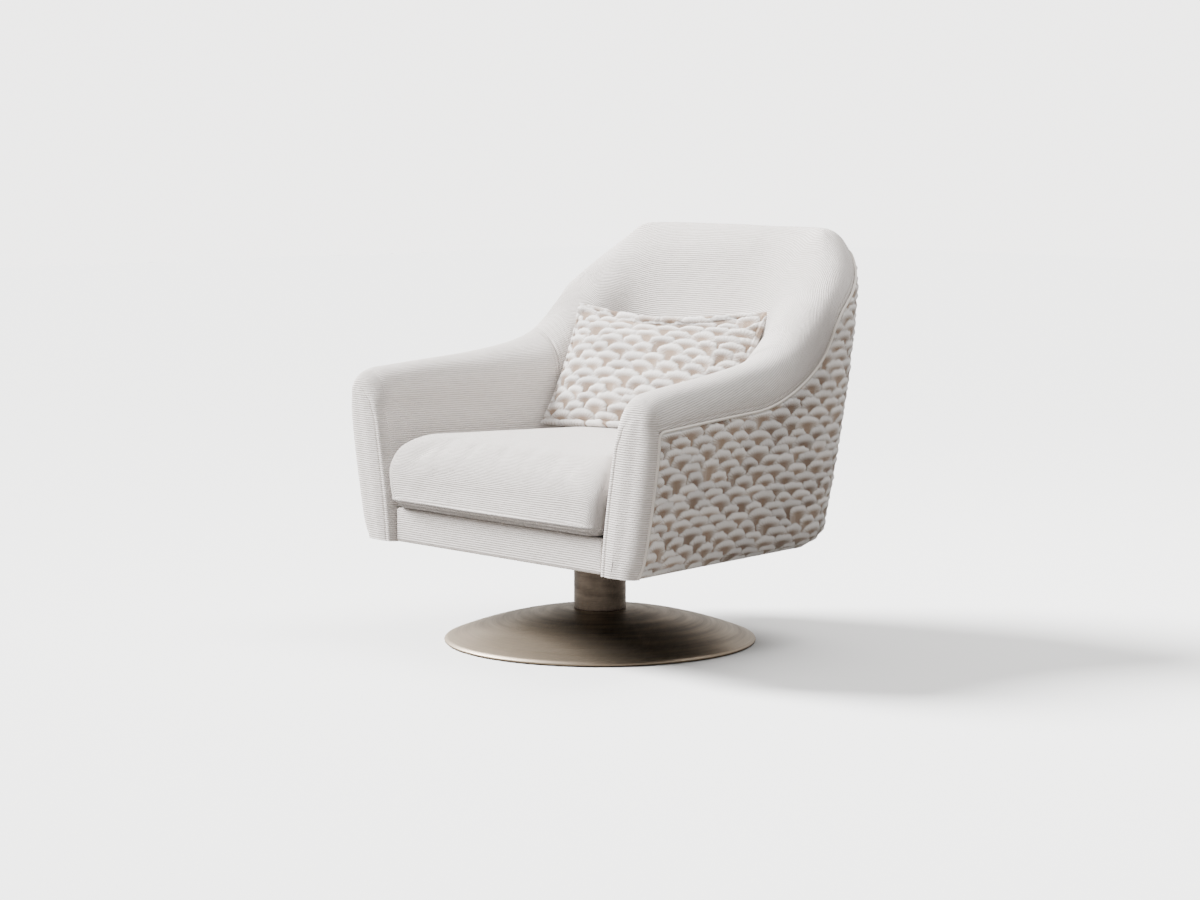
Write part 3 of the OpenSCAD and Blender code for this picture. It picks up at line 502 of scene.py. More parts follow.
def pad_grid(stations, sides, rows):
    """Points, cloth coordinates, distance to the outer seam, distance past the crest, and offsets."""
    made = []
    for l, side in zip(stations, sides):
        off, z, run, crest_at = section(l)
        band = run[-1] - EDGE_BAND
        t = np.concatenate([np.linspace(0, 1, rows) * band, band + np.arange(EDGE_STEP, EDGE_BAND, EDGE_STEP),
                            [run[-1]]])
        t_off, t_z = at_runs(t, run, off, z)
        made.append((place(l, t_off, t_z, side), np.stack([np.full_like(t, side * (PATH_L - l)), PAD_Z + t], -1),
                     run[-1] - t, t - crest_at, t_off))
    return [np.array(part) for part in zip(*made)]


def eased_corners(grid, depth, most):
    """Rounds the rows of a grid in plan, as padding bridges a sharp inside corner of the frame."""
    out, fine_n = grid.copy(), 500
    part = np.linspace(0, 1, len(grid))
    for j in range(grid.shape[1]):
        share = float(smooth((depth[j] + 0.030) / 0.060))
        sigma = most * share
        if sigma < 0.001:
            continue
        run = run_of(grid[:, j])
        step = run[-1] / fine_n
        fine = np.stack(at_runs(np.arange(fine_n + 1) * step, run, *grid[:, j].T), -1)
        reach = int(3 * sigma / step) + 1
        before = fine[0] + (fine[0] - fine[4]) / 4 * np.arange(reach, 0, -1)[:, None]
        after = fine[-1] + (fine[-1] - fine[-5]) / 4 * np.arange(1, reach + 1)[:, None]
        long = np.concatenate([before, fine, after])
        kernel = np.exp(-0.5 * (np.arange(-reach, reach + 1) * step / sigma) ** 2)
        kernel /= kernel.sum()
        soft = [np.convolve(line, kernel, "valid") for line in long.T]
        out[:, j] = np.stack(at_runs(mix(run / run[-1], part, share) * fine_n, np.arange(fine_n + 1), *soft), -1)
    out[0], out[-1] = grid[0], grid[-1]
    return out


def bridged(grid, free, passes=150):
    """Lets the cloth span a hollow as it does under tension: free points settle between neighbours."""
    for _ in range(passes):
        mean = (grid[:-2, 1:-1] + grid[2:, 1:-1] + grid[1:-1, :-2] + grid[1:-1, 2:]) / 4
        grid[1:-1, 1:-1] += free[1:-1, 1:-1, None] * (mean - grid[1:-1, 1:-1])
    return grid


def rear_plane(z):
    return POST_FOOT_Y + math.tan(POST_TILT) * (z - FRAME_Z) - BACK_REACH


def pad_back(stations, sides):
    """The hidden side of the padding, which lies against the frame."""
    points = []
    for l, side in zip(stations, sides):
        z = np.linspace(PAD_Z, seam(l), 9)
        u = np.clip((l - SIDE_L) / TURN_L, 0, 1)
        off = mix(-0.032, rear_plane(z), smooth(u)) - 0.028 * 4 * u * (1 - u) - 0.0005
        room = 0.022 + 0.026 * hump(l - CORNER_MID, 0.09)
        off = np.minimum(np.maximum(off, inner(l, z) + room), outer(l, z) - 0.012)
        ledge = mix(off[-1], outer(l, seam(l)) - 0.010, np.array([0.5, 1.0]))
        points.append(place(l, np.concatenate([off, ledge]), np.append(z, [seam(l)] * 2), side))
    return np.array(points)


def seam_relief(to_seam):
    """The cream cloth's lower edge: it turns in at the welt, with a stitched line above it."""
    return edge_roll(to_seam, EDGE_R, 0.0042) - 0.0012 * hump(to_seam - 0.0100, 0.0018)


def join_relief(distance, past):
    """The groove where two cream pieces meet. It runs out over the crest, where the cloth is one piece."""
    groove = edge_roll(distance, EDGE_R, 0.0032) - 0.0010 * hump(distance - 0.0075, 0.0018)
    return smooth((-0.012 - past) / 0.05) * groove


def nose_inset(l, z, outside):
    """How far in the arm's front edge is at length l: crisp inside, barrelled outside, round on top."""
    over = smooth((z - 0.425) / 0.075)
    back = mix(mix(0.006, 0.010, outside), 0.024, over)
    across = mix(mix(0.011, 0.040, outside), 0.032, over)
    return across * round_in((back - l) / (back + NOSE_OUT))


print("the padding at the front is", round(float(section(FRONT_T)[2][-1]), 3), "m round")

# %% Arm and back padding
def arm_padding(name, side):
    stations, coarse = graded(FRONT_T, SPLIT_L, 0.0055), np.linspace(FRONT_T, SPLIT_L, 14)
    grid, uv, to_seam, past, _ = pad_grid(stations, np.full(len(stations), side), 108)
    l = stations[:, None] + 0 * to_seam
    loose = smooth((to_seam - 0.01) / 0.05) * smooth((l - FRONT_T) / 0.08) * smooth((SPLIT_L - l) / 0.05)
    relief = (seam_relief(to_seam) + join_relief(SPLIT_L - l, past) - nose_inset(l, grid[..., 2], past > 0)
              + ripples(l, uv[..., 1], 0.0009, (0.31, 0.19, 0.13, 0.09), 11 + int(side)) * loose)
    return panel(name, grid, pad_back(coarse, np.full(14, side)), uv, relief)


def from_middle(q):
    """Length along the plan and side of places given by their distance from the back's middle."""
    return PATH_L - np.abs(q), np.where(q < 0, -1.0, 1.0)


def back_padding(name):
    reach = PATH_L - SPLIT_L
    q = graded(-reach, reach, 0.0065)
    grid, uv, to_seam, past, offsets = pad_grid(*from_middle(q), 130)
    uv[..., 0] = q[:, None]
    corner = int(np.argmin(np.abs(from_middle(q)[0] - CORNER_MID)))
    grid = eased_corners(grid, -offsets[corner], 0.034)
    l, d = PATH_L - np.abs(q)[:, None], (reach - np.abs(q))[:, None]
    free = (smooth((l - 0.46) / 0.06) * smooth((0.78 - l) / 0.08) * smooth((-0.010 - past) / 0.05)
            * smooth((grid[..., 2] - 0.44) / 0.08))
    grid = bridged(grid, free)
    loose = smooth((to_seam - 0.01) / 0.05) * smooth(d / 0.05)
    relief = (seam_relief(to_seam) + join_relief(d, past)
              + ripples(q[:, None], uv[..., 1], 0.0012, (0.41, 0.27, 0.17, 0.11), 5) * loose)
    return panel(name, grid, pad_back(*from_middle(np.linspace(-reach, reach, 31))), uv, relief)


SIDES = ((-1.0, "left"), (1.0, "right"))
for side, word in SIDES:
    dress(arm_padding(word + "_arm_padding", side), cream, "shell",
          [word + "_inside_arm"])
dress(back_padding("back_padding"), cream, "shell", ["inside_back"])

# %% [markdown]
# ## The fronts of the arms
# Each arm ends in a facing panel with rounded edges. It is a set of rings: the arm's own outline is
# turned forwards round a small radius, and then drawn in to the line halfway between its two sides.

# %% Arm fronts
FRONT_ROLL, CROWN, STITCH_IN = 0.060, 0.0030, 0.0052


def front_outline():
    """The arm's outline at its front, inside bottom over the crest to outside bottom, facing inwards."""
    top, a = crest(FRONT_T), np.linspace(0, math.pi / 2, 34)
    z = np.concatenate([np.linspace(SHELL_Z, top - FRONT_ROLL, 66)[:-1], top - FRONT_ROLL * (1 - np.sin(a))])
    off = np.concatenate([inner(FRONT_T, z), outer(FRONT_T, z[::-1])[1:]])
    zz = np.concatenate([z, z[::-1][1:]])
    d_off, d_z = np.gradient(off), np.gradient(zz)
    return off, zz, np.stack([d_z, -d_off], -1) / np.hypot(d_off, d_z)[:, None]


def drawn_in(l, outside, more=0.0):
    """The front outline, drawn in as the nose is at length l."""
    off, z, inwards = front_outline()
    inset = nose_inset(l, z, outside) + more
    return off + inwards[:, 0] * inset, z + inwards[:, 1] * inset


def nose_cloth(points):
    """Cloth coordinates whose ribs lie across the front and go on over the top of the arm."""
    near_top = crest(0.0) - 0.035
    back = points[:, 1] - points[points[:, 2] > near_top, 1].min()
    over_top = back * smooth((points[:, 2] - near_top) / 0.03)
    return np.stack([points[:, 0] + points[:, 1], points[:, 2] + over_top], -1)


def arm_front(name, side):
    n = len(front_outline()[0])
    outside, half = np.arange(n) > n // 2, n // 2
    tucks = [(FRONT_T + 0.0035, 0.0030), (FRONT_T + 0.0015, 0.0012)]
    tucks += [(FRONT_T - (FRONT_T + NOSE_OUT) * math.sin(a), 0.0) for a in np.linspace(0, math.pi / 2, 21)]
    rings = [place(l, *drawn_in(l, outside, more), side) for l, more in tucks]
    edge_off, edge_z = drawn_in(-NOSE_OUT, outside)
    mid_off = (edge_off + edge_off[::-1]) / 2
    sewn = (np.arange(n) < half) * smooth((crest(0.0) - 0.030 - front_outline()[1]) / 0.05)
    width = np.abs(edge_off - mid_off)
    for w in np.concatenate([[0.05, 0.10, 0.16, 0.22, 0.28], np.linspace(0.36, 1, 11)]):
        groove = 0.0016 * sewn * hump(w * width - STITCH_IN, 0.0017)
        crown = groove - CROWN * smooth(w) * smooth(width / 0.035)
        rings.append(place(crown - NOSE_OUT, mix(edge_off, mid_off, w), edge_z, side))
    grid = np.array(rings)
    grid[..., 2] = np.maximum(grid[..., 2], SHELL_Z)
    grid[:, (0, -1), 2] = SHELL_Z
    index = numbered(grid.shape)
    faces = quads(index)
    faces += [(index[0, i], index[0, i + 1], index[0, n - 2 - i], index[0, n - 1 - i]) for i in range(half)]
    faces += [(a[0], b[0], b[-1], a[-1]) for a, b in zip(index, index[1:])]
    points = grid.reshape(-1, 3)
    made = to_mesh(name, points, [tuple(dict.fromkeys(f)) for f in faces], nose_cloth(points))
    worked(made.data, lambda work: bmesh.ops.remove_doubles(work, verts=work.verts, dist=2e-5),
           lambda work: bmesh.ops.dissolve_degenerate(work, edges=work.edges, dist=1e-6), outwards)
    made.data.set_sharp_from_angle(angle=math.radians(60))
    return made


for side, word in SIDES:
    dress(arm_front(word + "_arm_facing", side), cream, "shell",
          [word + "_arm_front"])

# %% [markdown]
# ## The front band
# Below the seat, a padded rail wrapped in the same cloth closes the front. It is a rounded strip whose
# ends follow the insides of the arms, drawn as one loop of points swept across the chair.

# %% Front band
BAND_FRONT, BAND_BACK, BAND_TOP, BAND_R, BAND_END_R = -0.2677, -0.2451, 0.2554, 0.006, 0.004
BAND_MID, BAND_HALF = (SHELL_Z + BAND_TOP) / 2, 0.034


def closed(index):
    """Point numbers of rings, with the first of each ring again at its end."""
    return np.concatenate([index, index[:, :1]], 1)


def swept_loop(name, loops, uv=None, sharp=60):
    """A closed skin through loops of points, with both ends filled."""
    grid = np.array(loops)
    index = numbered(grid.shape)
    faces = quads(closed(index)) + [index[0].tolist(), index[-1][::-1].tolist()]
    return to_mesh(name, grid.reshape(-1, 3), faces, uv, sharp)


def front_band():
    arcs = np.linspace(0, math.pi / 2, 7)
    lower = [(BAND_FRONT + BAND_R * (1 - math.sin(a)), SHELL_Z + BAND_R * (1 - math.cos(a))) for a in arcs]
    upper = [(y, SHELL_Z + BAND_TOP - z) for y, z in lower[::-1]]
    face = [(BAND_FRONT, z) for z in np.linspace(SHELL_Z, BAND_TOP, 18)[3:-3]]
    loop = np.array([(BAND_BACK, SHELL_Z)] + lower + face + upper + [(BAND_BACK, BAND_TOP)])
    ends = [(1.0 - BAND_END_R * (1 - math.sin(a)) / 0.30, BAND_END_R * (1 - math.cos(a)))
            for a in np.linspace(math.pi / 2, 0, 6)]
    shares = [(-s, i) for s, i in ends] + [(s, 0.0) for s in np.linspace(-0.975, 0.975, 60)] + ends[::-1]
    loops = []
    for share, inset in shares:
        y = np.clip(loop[:, 0] + inset, BAND_FRONT, BAND_BACK)
        z = BAND_MID + (loop[:, 1] - BAND_MID) * (1 - inset / BAND_HALF)
        limit = HALF_FRONT + (-0.0893 - (y + FRONT_REACH) * math.sin(TOE)) / math.cos(TOE)
        puff = 0.0012 * np.clip(1 - ((z - BAND_MID) / BAND_HALF) ** 2, 0, 1) * (y < BAND_FRONT + 0.004)
        loops.append(np.stack([share * limit, y - puff * smooth((1 - abs(share)) / 0.05), z], -1))
    points = np.array(loops).reshape(-1, 3)
    return swept_loop("front_band", loops, np.stack([points[:, 0], points[:, 2] + points[:, 1]], -1))


dress(front_band(), cream, "shell", ["front_rail_cover"])

# %% [markdown]
# ## The patterned cloth
# The outside of the shell and the small pillow are covered in a chenille cloth woven in relief: rows
# of uneven scallops, each a soft arched rim over a hollow. A common clamshell layout, laid out at
# random here, gives it: rows from the top down, each fan drawn over the row above it. The relief is
# real geometry, since it shows on the outline. The shader tints it only by cap and hollow, and paints
# shade into the crevice along each fan's rim.

# %% Scallops
ROW_PITCH, FAN_PITCH, FAN_RELIEF = 0.0180, 0.0600, 0.0056
FLUTE_PITCH, FLUTE_RELIEF, ROUNDNESS = 0.0026, 0.00038, 2.3
FIELDS = ("cap", "painted_crevice_shade", "tone")


def scallops(u, v, seed):
    """Height of the relief, and how much each cloth point is cap, painted shade in the crevice at a fan's rim, and
    light or dark fan.
    """
    rng = np.random.default_rng(seed)
    height, cap, painted_crevice_shade, tone = (np.zeros(u.shape) for _ in range(4))
    low_u, high_u, low_v = u.min() - 0.04, u.max() + 0.04, v.min() - 0.03
    base, row = v.max() + 0.01, 0
    while base > low_v:
        count = int((high_u - low_u) / FAN_PITCH) + 3
        for pick in rng.permutation(count):
            centre = low_u + (pick - 1 + 0.5 * (row % 2) + rng.uniform(-0.17, 0.17)) * FAN_PITCH
            width = FAN_PITCH * rng.uniform(0.80, 1.30)
            rise = ROW_PITCH * rng.uniform(0.92, 1.16)
            foot, tilt = base + rng.normal(0, 0.0020), rng.normal(0, 0.14)
            top, shade = FAN_RELIEF * rng.uniform(0.8, 1.15), rng.uniform(0, 1)
            lobes, phase = rng.integers(2, 6), rng.uniform(0, 2 * math.pi)
            near = (np.abs(u - centre) < width * 0.62) & (v > foot - 0.030) & (v < foot + rise * 1.1)
            if not near.any():
                continue
            dy = (v[near] - foot) / rise
            dx = (u[near] - centre - tilt * (v[near] - foot)) / (width / 2)
            arch = (np.abs(dx) ** ROUNDNESS + np.maximum(dy, 0) ** ROUNDNESS) ** (1 / ROUNDNESS)
            r = np.where(dy > 0, arch, np.abs(dx) - 0.12 * dy)
            r = r * (1 + 0.05 * np.sin(lobes * np.arctan2(np.maximum(dy, 0), dx) * 2 + phase))
            inside = r < 1
            r, dx, dy = r[inside], dx[inside], dy[inside]
            spot = np.zeros(u.shape, bool)
            spot[near] = inside
            edge = np.sqrt(1 - 0.66 * np.clip((r - 0.60) / 0.40, 0, 1) ** 2)
            out = np.hypot(0.45 * dx, np.maximum(dy, 0))
            angle = np.arctan2(np.maximum(dy, -0.2) + 0.30, dx)
            flute = np.cos(angle * int(width / FLUTE_PITCH)) * smooth((r - 0.2) / 0.4) * smooth((1 - r) / 0.1)
            height[spot] = top * edge * mix(0.35, 1.0, smooth(out / 0.60)) + FLUTE_RELIEF * flute
            # The cap is the cloth's pale yarn over its warm hollow. The flute term in it is painted light on the
            # flutes' crests and painted shade in their grooves.
            cap[spot] = smooth((out - 0.02 + 0.09 * flute) / 0.66)
            # painted shade: a dark band along each fan's rim, where it dips to the fan behind
            painted_crevice_shade[spot] = smooth((r - 0.90) / 0.10)
            tone[spot] = shade
        base -= ROW_PITCH * rng.uniform(0.90, 1.10)
        row += 1
    return height, dict(zip(FIELDS, (cap, painted_crevice_shade, tone)))


def scallop_cloth():
    """Chenille pile: no gloss, a strong soft sheen, pale caps, warm hollows and painted shade along the fans'
    rims.
    """
    made, tree = new_material("scallop_chenille")
    uv = add(tree, "ShaderNodeUVMap", uv_map="cloth")
    cap, painted_crevice_shade, tone = (add(tree, "ShaderNodeAttribute", attribute_name=f).outputs["Fac"] for f in FIELDS)
    tufts = add(tree, "ShaderNodeTexNoise", {"Vector": uv, "Scale": 560.0, "Detail": 3.0, "Roughness": 0.65})
    drawn = add(tree, "ShaderNodeMapping", {"Vector": uv, "Scale": (900.0, 160.0, 1.0)})
    threads = add(tree, "ShaderNodeTexNoise", {"Vector": drawn, "Scale": 1.0, "Detail": 1.0})
    mottle = add(tree, "ShaderNodeMath", {0: tufts, 1: 0.9, 2: -0.45}, operation="MULTIPLY_ADD")
    blend = add(tree, "ShaderNodeMath", {0: cap, 1: mottle}, operation="ADD", use_clamp=True)
    warm, pale = (add(tree, "ShaderNodeMix", {0: tone, "A": colour(a), "B": colour(b)}, data_type="RGBA")
                  for a, b in (("#a08a78", "#7f6b5b"), ("#f0ece8", "#dad7d5")))
    fan = add(tree, "ShaderNodeMix", {0: blend, "A": warm.outputs[2], "B": pale.outputs[2]}, data_type="RGBA")
    # painted shade: the crevice at each fan's rim is darkened towards #655950
    painted_shade_amount = add(tree, "ShaderNodeMath", {0: painted_crevice_shade, 1: 0.36}, operation="MULTIPLY")
    paint = add(tree, "ShaderNodeMix", {0: painted_shade_amount, "A": fan.outputs[2], "B": colour("#655950")}, data_type="RGBA")
    pile = add(tree, "ShaderNodeMath", {0: threads, 1: 0.8, 2: tufts}, operation="MULTIPLY_ADD")
    bump = add(tree, "ShaderNodeBump", {"Height": pile, "Strength": 0.7, "Distance": 0.0014})
    shader = add(tree, "ShaderNodeBsdfPrincipled", {
        "Base Color": paint.outputs[2], "Normal": bump, "Roughness": 0.95, "Specular IOR Level": 0.12,
        "Sheen Weight": 0.25, "Sheen Roughness": 0.45})
    add(tree, "ShaderNodeOutputMaterial", {"Surface": shader})
    return made


scalloped = scallop_cloth()
print("material:", scalloped.name)

# %% [markdown]
# ## The outside of the shell
# Three patterned panels wrap the frame, from the welt down to the staples under the seat. Each turns
# in at its seams, and its cloth is measured along the real surface, so that no fan is stretched
# where the shell swells at a corner.

# %% Outside panels
SKIN_L = mix(SPLIT_L, PATH_L, 12 / 18)
BOARD_END_L, SKIN_GAP = SIDE_L + 0.023, 0.0003
CLOTH_H, CLOTH_STEP, SUNK = 0.42, 0.0020, 0.0020


def skin_plane(l, z):
    """Offset of the frame's outer faces, where the patterned panels are stapled."""
    share = smooth((l - BOARD_END_L) / (SIDE_L + TURN_L - BOARD_END_L))
    side = 0.004 * smooth((l - SIDE_L + 0.030) / 0.030) - 0.014
    return mix(side, rear_plane(z) + RAIL_T / math.cos(POST_TILT), share) + 0.0005


def cloth_run(q):
    """Length of the cloth from the middle of the back, measured on the surface at half height."""
    far = np.linspace(0.0, PATH_L, 400)
    line = place(PATH_L - far, outer(PATH_L - far, CLOTH_H), CLOTH_H)
    return np.sign(q) * np.interp(np.abs(q), far, run_of(line))


def outside_panel(name, distances, seed):
    """A patterned panel over signed distances from the middle of the back."""
    grid, uv = [], []
    for l, side, q in zip(*from_middle(distances), cloth_run(distances)):
        z = np.linspace(SHELL_Z, seam(l) - 0.0012, 200)
        off = outer(l, z) - nose_inset(l, z, True)
        run = run_of(np.stack([off, z], -1))
        t = np.linspace(0, run[-1], 226)
        grid.append(place(l, *at_runs(t, run, off, z), side))
        uv.append(np.stack([np.full_like(t, q), t], -1))
    grid, uv = np.array(grid), np.array(uv)
    v = uv[..., 1]
    to_top = v[:, -1:] - v
    to_end = np.minimum(distances - distances[0], distances[-1] - distances)[:, None] + 0 * v
    edge = np.minimum(np.minimum(to_top, v), to_end)
    height, fields = scallops(uv[..., 0], v, seed)
    relief = (height * smooth((edge + 0.002) / 0.009) * mix(0.25, 1.0, smooth(v / 0.030))
              - SUNK * smooth(edge / 0.022)
              + edge_roll(np.minimum(to_top, to_end), 0.006, 0.0028) + edge_roll(v, 0.008, 0.0030))
    behind = []
    for l, side in zip(*from_middle(np.linspace(distances[0], distances[-1], 30))):
        z = np.linspace(SHELL_Z, seam(l) - 0.016, 9)
        behind.append(place(l, skin_plane(l, z), z, side))
    return panel(name, grid, np.array(behind), uv, relief, fields)


reach, corner = PATH_L - FRONT_T - 0.0004, PATH_L - SKIN_L
for name, first, last, seed, replaced in (
        ("left_patterned_side", -reach, -corner - SKIN_GAP, 21, "left_outside_arm"),
        ("right_patterned_side", corner + SKIN_GAP, reach, 22, "right_outside_arm"),
        ("patterned_back", -corner, corner, 23, "outside_back")):
    made = outside_panel(name, np.linspace(first, last, int(round((last - first) / CLOTH_STEP))), seed)
    dress(made, scalloped, "shell", [replaced])

# %% [markdown]
# ## Piping
# A welt of bias-cut cream cloth over a cord covers the seam. It runs up the front edge of each arm,
# turns the corner on a small radius and follows the seam round the back. A tube along a path makes it.

# %% Welt
WELT_R, WELT_SIDES, WELT_STEP, WELT_OUT = 0.0027, 10, 0.003, 0.0018


def tube(path, radius, sides):
    """Loops of points round a path."""
    ahead = np.gradient(path, axis=0)
    ahead /= np.linalg.norm(ahead, axis=1, keepdims=True)
    up = np.array([0.0, 0.0, 1.0]) if abs(ahead[0][2]) < 0.9 else np.array([1.0, 0.0, 0.0])
    a = np.linspace(0, 2 * math.pi, sides, endpoint=False)[:, None]
    loops = []
    for p, t in zip(path, ahead):
        up = up - t * np.dot(up, t)
        up /= np.linalg.norm(up)
        loops.append(p + radius * (np.cos(a) * up + np.sin(a) * np.cross(t, up)))
    return loops


def whole(half):
    """A line over one half of the chair, with its mirror image, as one line from side to side."""
    return np.concatenate([half * [-1, 1, 1], half[::-1][1:]])


def even(path, step):
    run = run_of(path)
    t = np.linspace(0, run[-1], int(round(run[-1] / step)) + 1)
    return np.stack(at_runs(t, run, *path.T), -1)


def welt_half():
    """Half of the welt's way: up the arm's front edge and along the seam to the middle of the back."""
    z = np.arange(SHELL_Z + 0.002, seam(FRONT_T) - 0.004, WELT_STEP)
    l = np.concatenate([np.full_like(z, FRONT_T), np.arange(FRONT_T + 0.004, PATH_L, WELT_STEP)])
    z = np.concatenate([z, seam(l[len(z):])])
    path = np.stack([l, outer(l, z) - nose_inset(l, z, True) + WELT_OUT, z], -1)
    end = [[PATH_L, outer(PATH_L, seam(PATH_L)) + WELT_OUT, seam(PATH_L)]]
    path = np.concatenate([path, end])
    for _ in range(4):
        path = np.concatenate([path[:1], (path[:-2] + 2 * path[1:-1] + path[2:]) / 4, path[-1:]])
    return place(*path.T)


welt_path = even(whole(welt_half()), WELT_STEP)
along = run_of(welt_path)
uv = np.stack([np.repeat(along, WELT_SIDES), np.tile(np.arange(WELT_SIDES) * 0.0016, len(along))], -1)
dress(swept_loop("welt_cord", tube(welt_path, WELT_R, WELT_SIDES), uv, 80), piping, "shell",
      ["seam_welt"])
print("welt length:", round(float(along[-1]), 3), "m")

# %% [markdown]
# ## The seat cushion
# A loose cushion fills the space between the arms: foam in a wrap, in a cover with a boxed front. Its
# sides follow the arms, and its front and top swell. Rings of points make a slightly flat cushion,
# and a short cloth simulation under pressure rounds it, as filling a real cover does.

# %% Filling a cover by simulation
PRESSURE, FRAMES = 4.0, 20


def values_of(mesh, field):
    values = np.zeros(len(mesh.vertices) * 3)
    mesh.vertices.foreach_get(field, values)
    return values.reshape(-1, 3)


def move_points(mesh, points):
    mesh.vertices.foreach_set("co", points.ravel())
    mesh.update()


def evaluated(obj):
    return obj.evaluated_get(bpy.context.evaluated_depsgraph_get())


def soft_body(obj, limit):
    """Puffs a closed mesh up like a filled cover; limit gives how far each point may move."""
    start = values_of(obj.data, "co")
    filling = obj.modifiers.new("filling", "CLOTH")
    cover = filling.settings
    cover.use_pressure, cover.uniform_pressure_force = True, PRESSURE
    cover.effector_weights.gravity = 0.0
    cover.quality = 5
    cover.tension_stiffness = cover.compression_stiffness = 12
    cover.bending_stiffness = 0.4
    filling.point_cache.frame_end = FRAMES
    for step in range(1, FRAMES + 1):
        bpy.context.scene.frame_set(step)
    move = values_of(evaluated(obj).data, "co") - start
    obj.modifiers.remove(filling)
    bpy.context.scene.frame_set(1)
    far = np.linalg.norm(move, axis=1, keepdims=True)
    move *= np.minimum(1.0, limit(start) / np.maximum(far, 1e-9))
    move_points(obj.data, start + move)
    print(obj.name, "filled: largest move", round(float(np.linalg.norm(move, axis=1).max()) * 1000, 1), "mm")
    return start + move


def stacked(name, rings):
    """A closed solid from rings that run round an upright axis, ending in two points."""
    n, m = len(rings[0]), len(rings)
    points = np.concatenate([rings[0][:1]] + rings[1:-1] + [rings[-1][:1]])
    index = closed(numbered((m - 2, n), 1))
    faces = quads(index)
    for tip, ring in ((0, index[0]), (len(points) - 1, index[-1])):
        faces += [(tip, int(a), int(b)) for a, b in zip(ring, ring[1:])]
    return to_mesh(name, points, faces)


print("a cover fills in", FRAMES, "frames")

# %% Seat cushion
CUSHION_Z, CUSHION_T, CUSHION_FRONT, MID_Y = 0.2569, 0.148, -0.292, -0.018
COVER_EASE, FLATTER, SEAM_UP = 0.003, 0.93, 0.0175
LEVELS = [[0, 1], [0, 0.3], [0, 0.07], [0.025, 0.022], [0.1, 0.004], [0.25, 0], [0.45, 0], [0.63, 0.006],
          [0.76, 0.022], [0.86, 0.055], [0.93, 0.11], [0.965, 0.2], [0.985, 0.36], [0.995, 0.6], [1, 1]]
FRONT_SHARES = [[0, 0], [0.3, 0], [0.6, 0.02], [0.85, 0.06], [0.94, 0.16], [0.985, 0.42], [1, 0.75]]


def inside_cushion(height, share, ease):
    """A ring of the cushion: its plan at a height, drawn in by a share and eased off the arms."""
    z = CUSHION_Z + CUSHION_T * height
    corner = place(0.0, inner(0.0, z) - ease, z)
    front = [[corner[0] * f[0], mix(CUSHION_FRONT, corner[1], f[1]), z] for f in FRONT_SHARES]
    l = PATH_L * np.arange(1, 65) / 64
    half = np.concatenate([front, place(l, inner(l, z) - ease, z)])
    outline = np.concatenate([half, (half[1:-1] * [-1, 1, 1])[::-1]])
    return mix(outline, np.array([0.0, MID_Y, z]), share)


def applied(obj):
    """Keeps what an object's modifiers make of it as its own mesh."""
    done = bpy.data.meshes.new_from_object(evaluated(obj))
    obj.modifiers.clear()
    obj.data = done


def relax(work):
    """Evens out small puckers, as a steamed cover is."""
    for _ in range(5):
        bmesh.ops.smooth_vert(work, verts=work.verts, factor=0.5, use_axis_x=True, use_axis_y=True,
                              use_axis_z=True)


def cushion_limit(points):
    """Room to swell: plenty above, some in front, none below or against the arms."""
    up = points[:, 2] - CUSHION_Z
    front = smooth((-0.24 - points[:, 1]) / 0.04) * smooth((0.285 - np.abs(points[:, 0])) / 0.04)
    return (0.0010 + 0.0105 * smooth((up - 0.07) / 0.05) + 0.004 * front * smooth((up - 0.02) / 0.03))[:, None]


def box_seam(mesh):
    """The cover's lower seam, a ridge with the under-band drawn in beneath it, and the seat of the zip."""
    co, flat = values_of(mesh, "co"), values_of(mesh, "normal") * [1, 1, 0]
    up = co[:, 2] - CUSHION_Z
    side = smooth((np.linalg.norm(flat, axis=1) - 0.3) / 0.4) * smooth((-0.10 - co[:, 1]) / 0.10)
    move = 0.0018 * hump(up - SEAM_UP, 0.0030) - 0.0060 * smooth((SEAM_UP - 0.002 - up) / 0.008)
    co += flat * (move * side)[:, None]
    low, high = (np.array(v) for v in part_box("cushion_zip"))
    beside = smooth((high[0] + 0.014 - np.abs(co[:, 0])) / 0.012)
    beside *= smooth(((high[2] - low[2]) / 2 + 0.010 - np.abs(co[:, 2] - (high[2] + low[2]) / 2)) / 0.008)
    behind = co[:, 1] > low[1] - 0.02
    co[behind, 1] = mix(co[:, 1], np.minimum(co[:, 1], high[1] - 0.0006), beside)[behind]
    move_points(mesh, co)


def cushion_cloth(points, normals):
    """Cloth coordinates that run on from the top down each face, as one wrapped cloth would."""
    return points[:, :2] + (CUSHION_Z + CUSHION_T - points[:, 2:]) * normals[:, :2]


cushion = stacked("seat_cushion_cover", [inside_cushion(h * FLATTER if h > 0.6 else h, s, COVER_EASE)
                                         for h, s in LEVELS])
voxels = cushion.modifiers.new("voxels", "REMESH")
voxels.mode, voxels.voxel_size, voxels.use_smooth_shade = "VOXEL", 0.006, True
applied(cushion)
soft_body(cushion, cushion_limit)
worked(cushion.data, relax)
finer = cushion.modifiers.new("finer", "SUBSURF")
finer.levels = finer.render_levels = 1
applied(cushion)
box_seam(cushion.data)
lay_cloth(cushion.data, cushion_cloth(values_of(cushion.data, "co"), values_of(cushion.data, "normal")))
dress(cushion, cream, "cushion", ["seat_cushion"])

# %% [markdown]
# ## The pillow
# The small pillow has knife edges: front and back are sewn to each other with no band, so the corners
# stay flat and reach out while the middle swells. Two grids share their border points, the simulation
# fills them, and the woven relief is raised afterwards, because a simulation would iron it out.

# %% Pillow
PILLOW_W, PILLOW_H, PILLOW_T, SLACK, FILL_MOST = 0.474, 0.272, 0.110, 0.82, 0.0105
PILLOW_AT, PILLOW_TURN, PILLOW_LEAN = (-0.026, 0.168, 0.522), math.radians(11), math.radians(-28)
TOP_HOLLOW, FOOT_HOLLOW, END_HOLLOW, SPACING = 0.24, 0.07, 0.07, 1.15


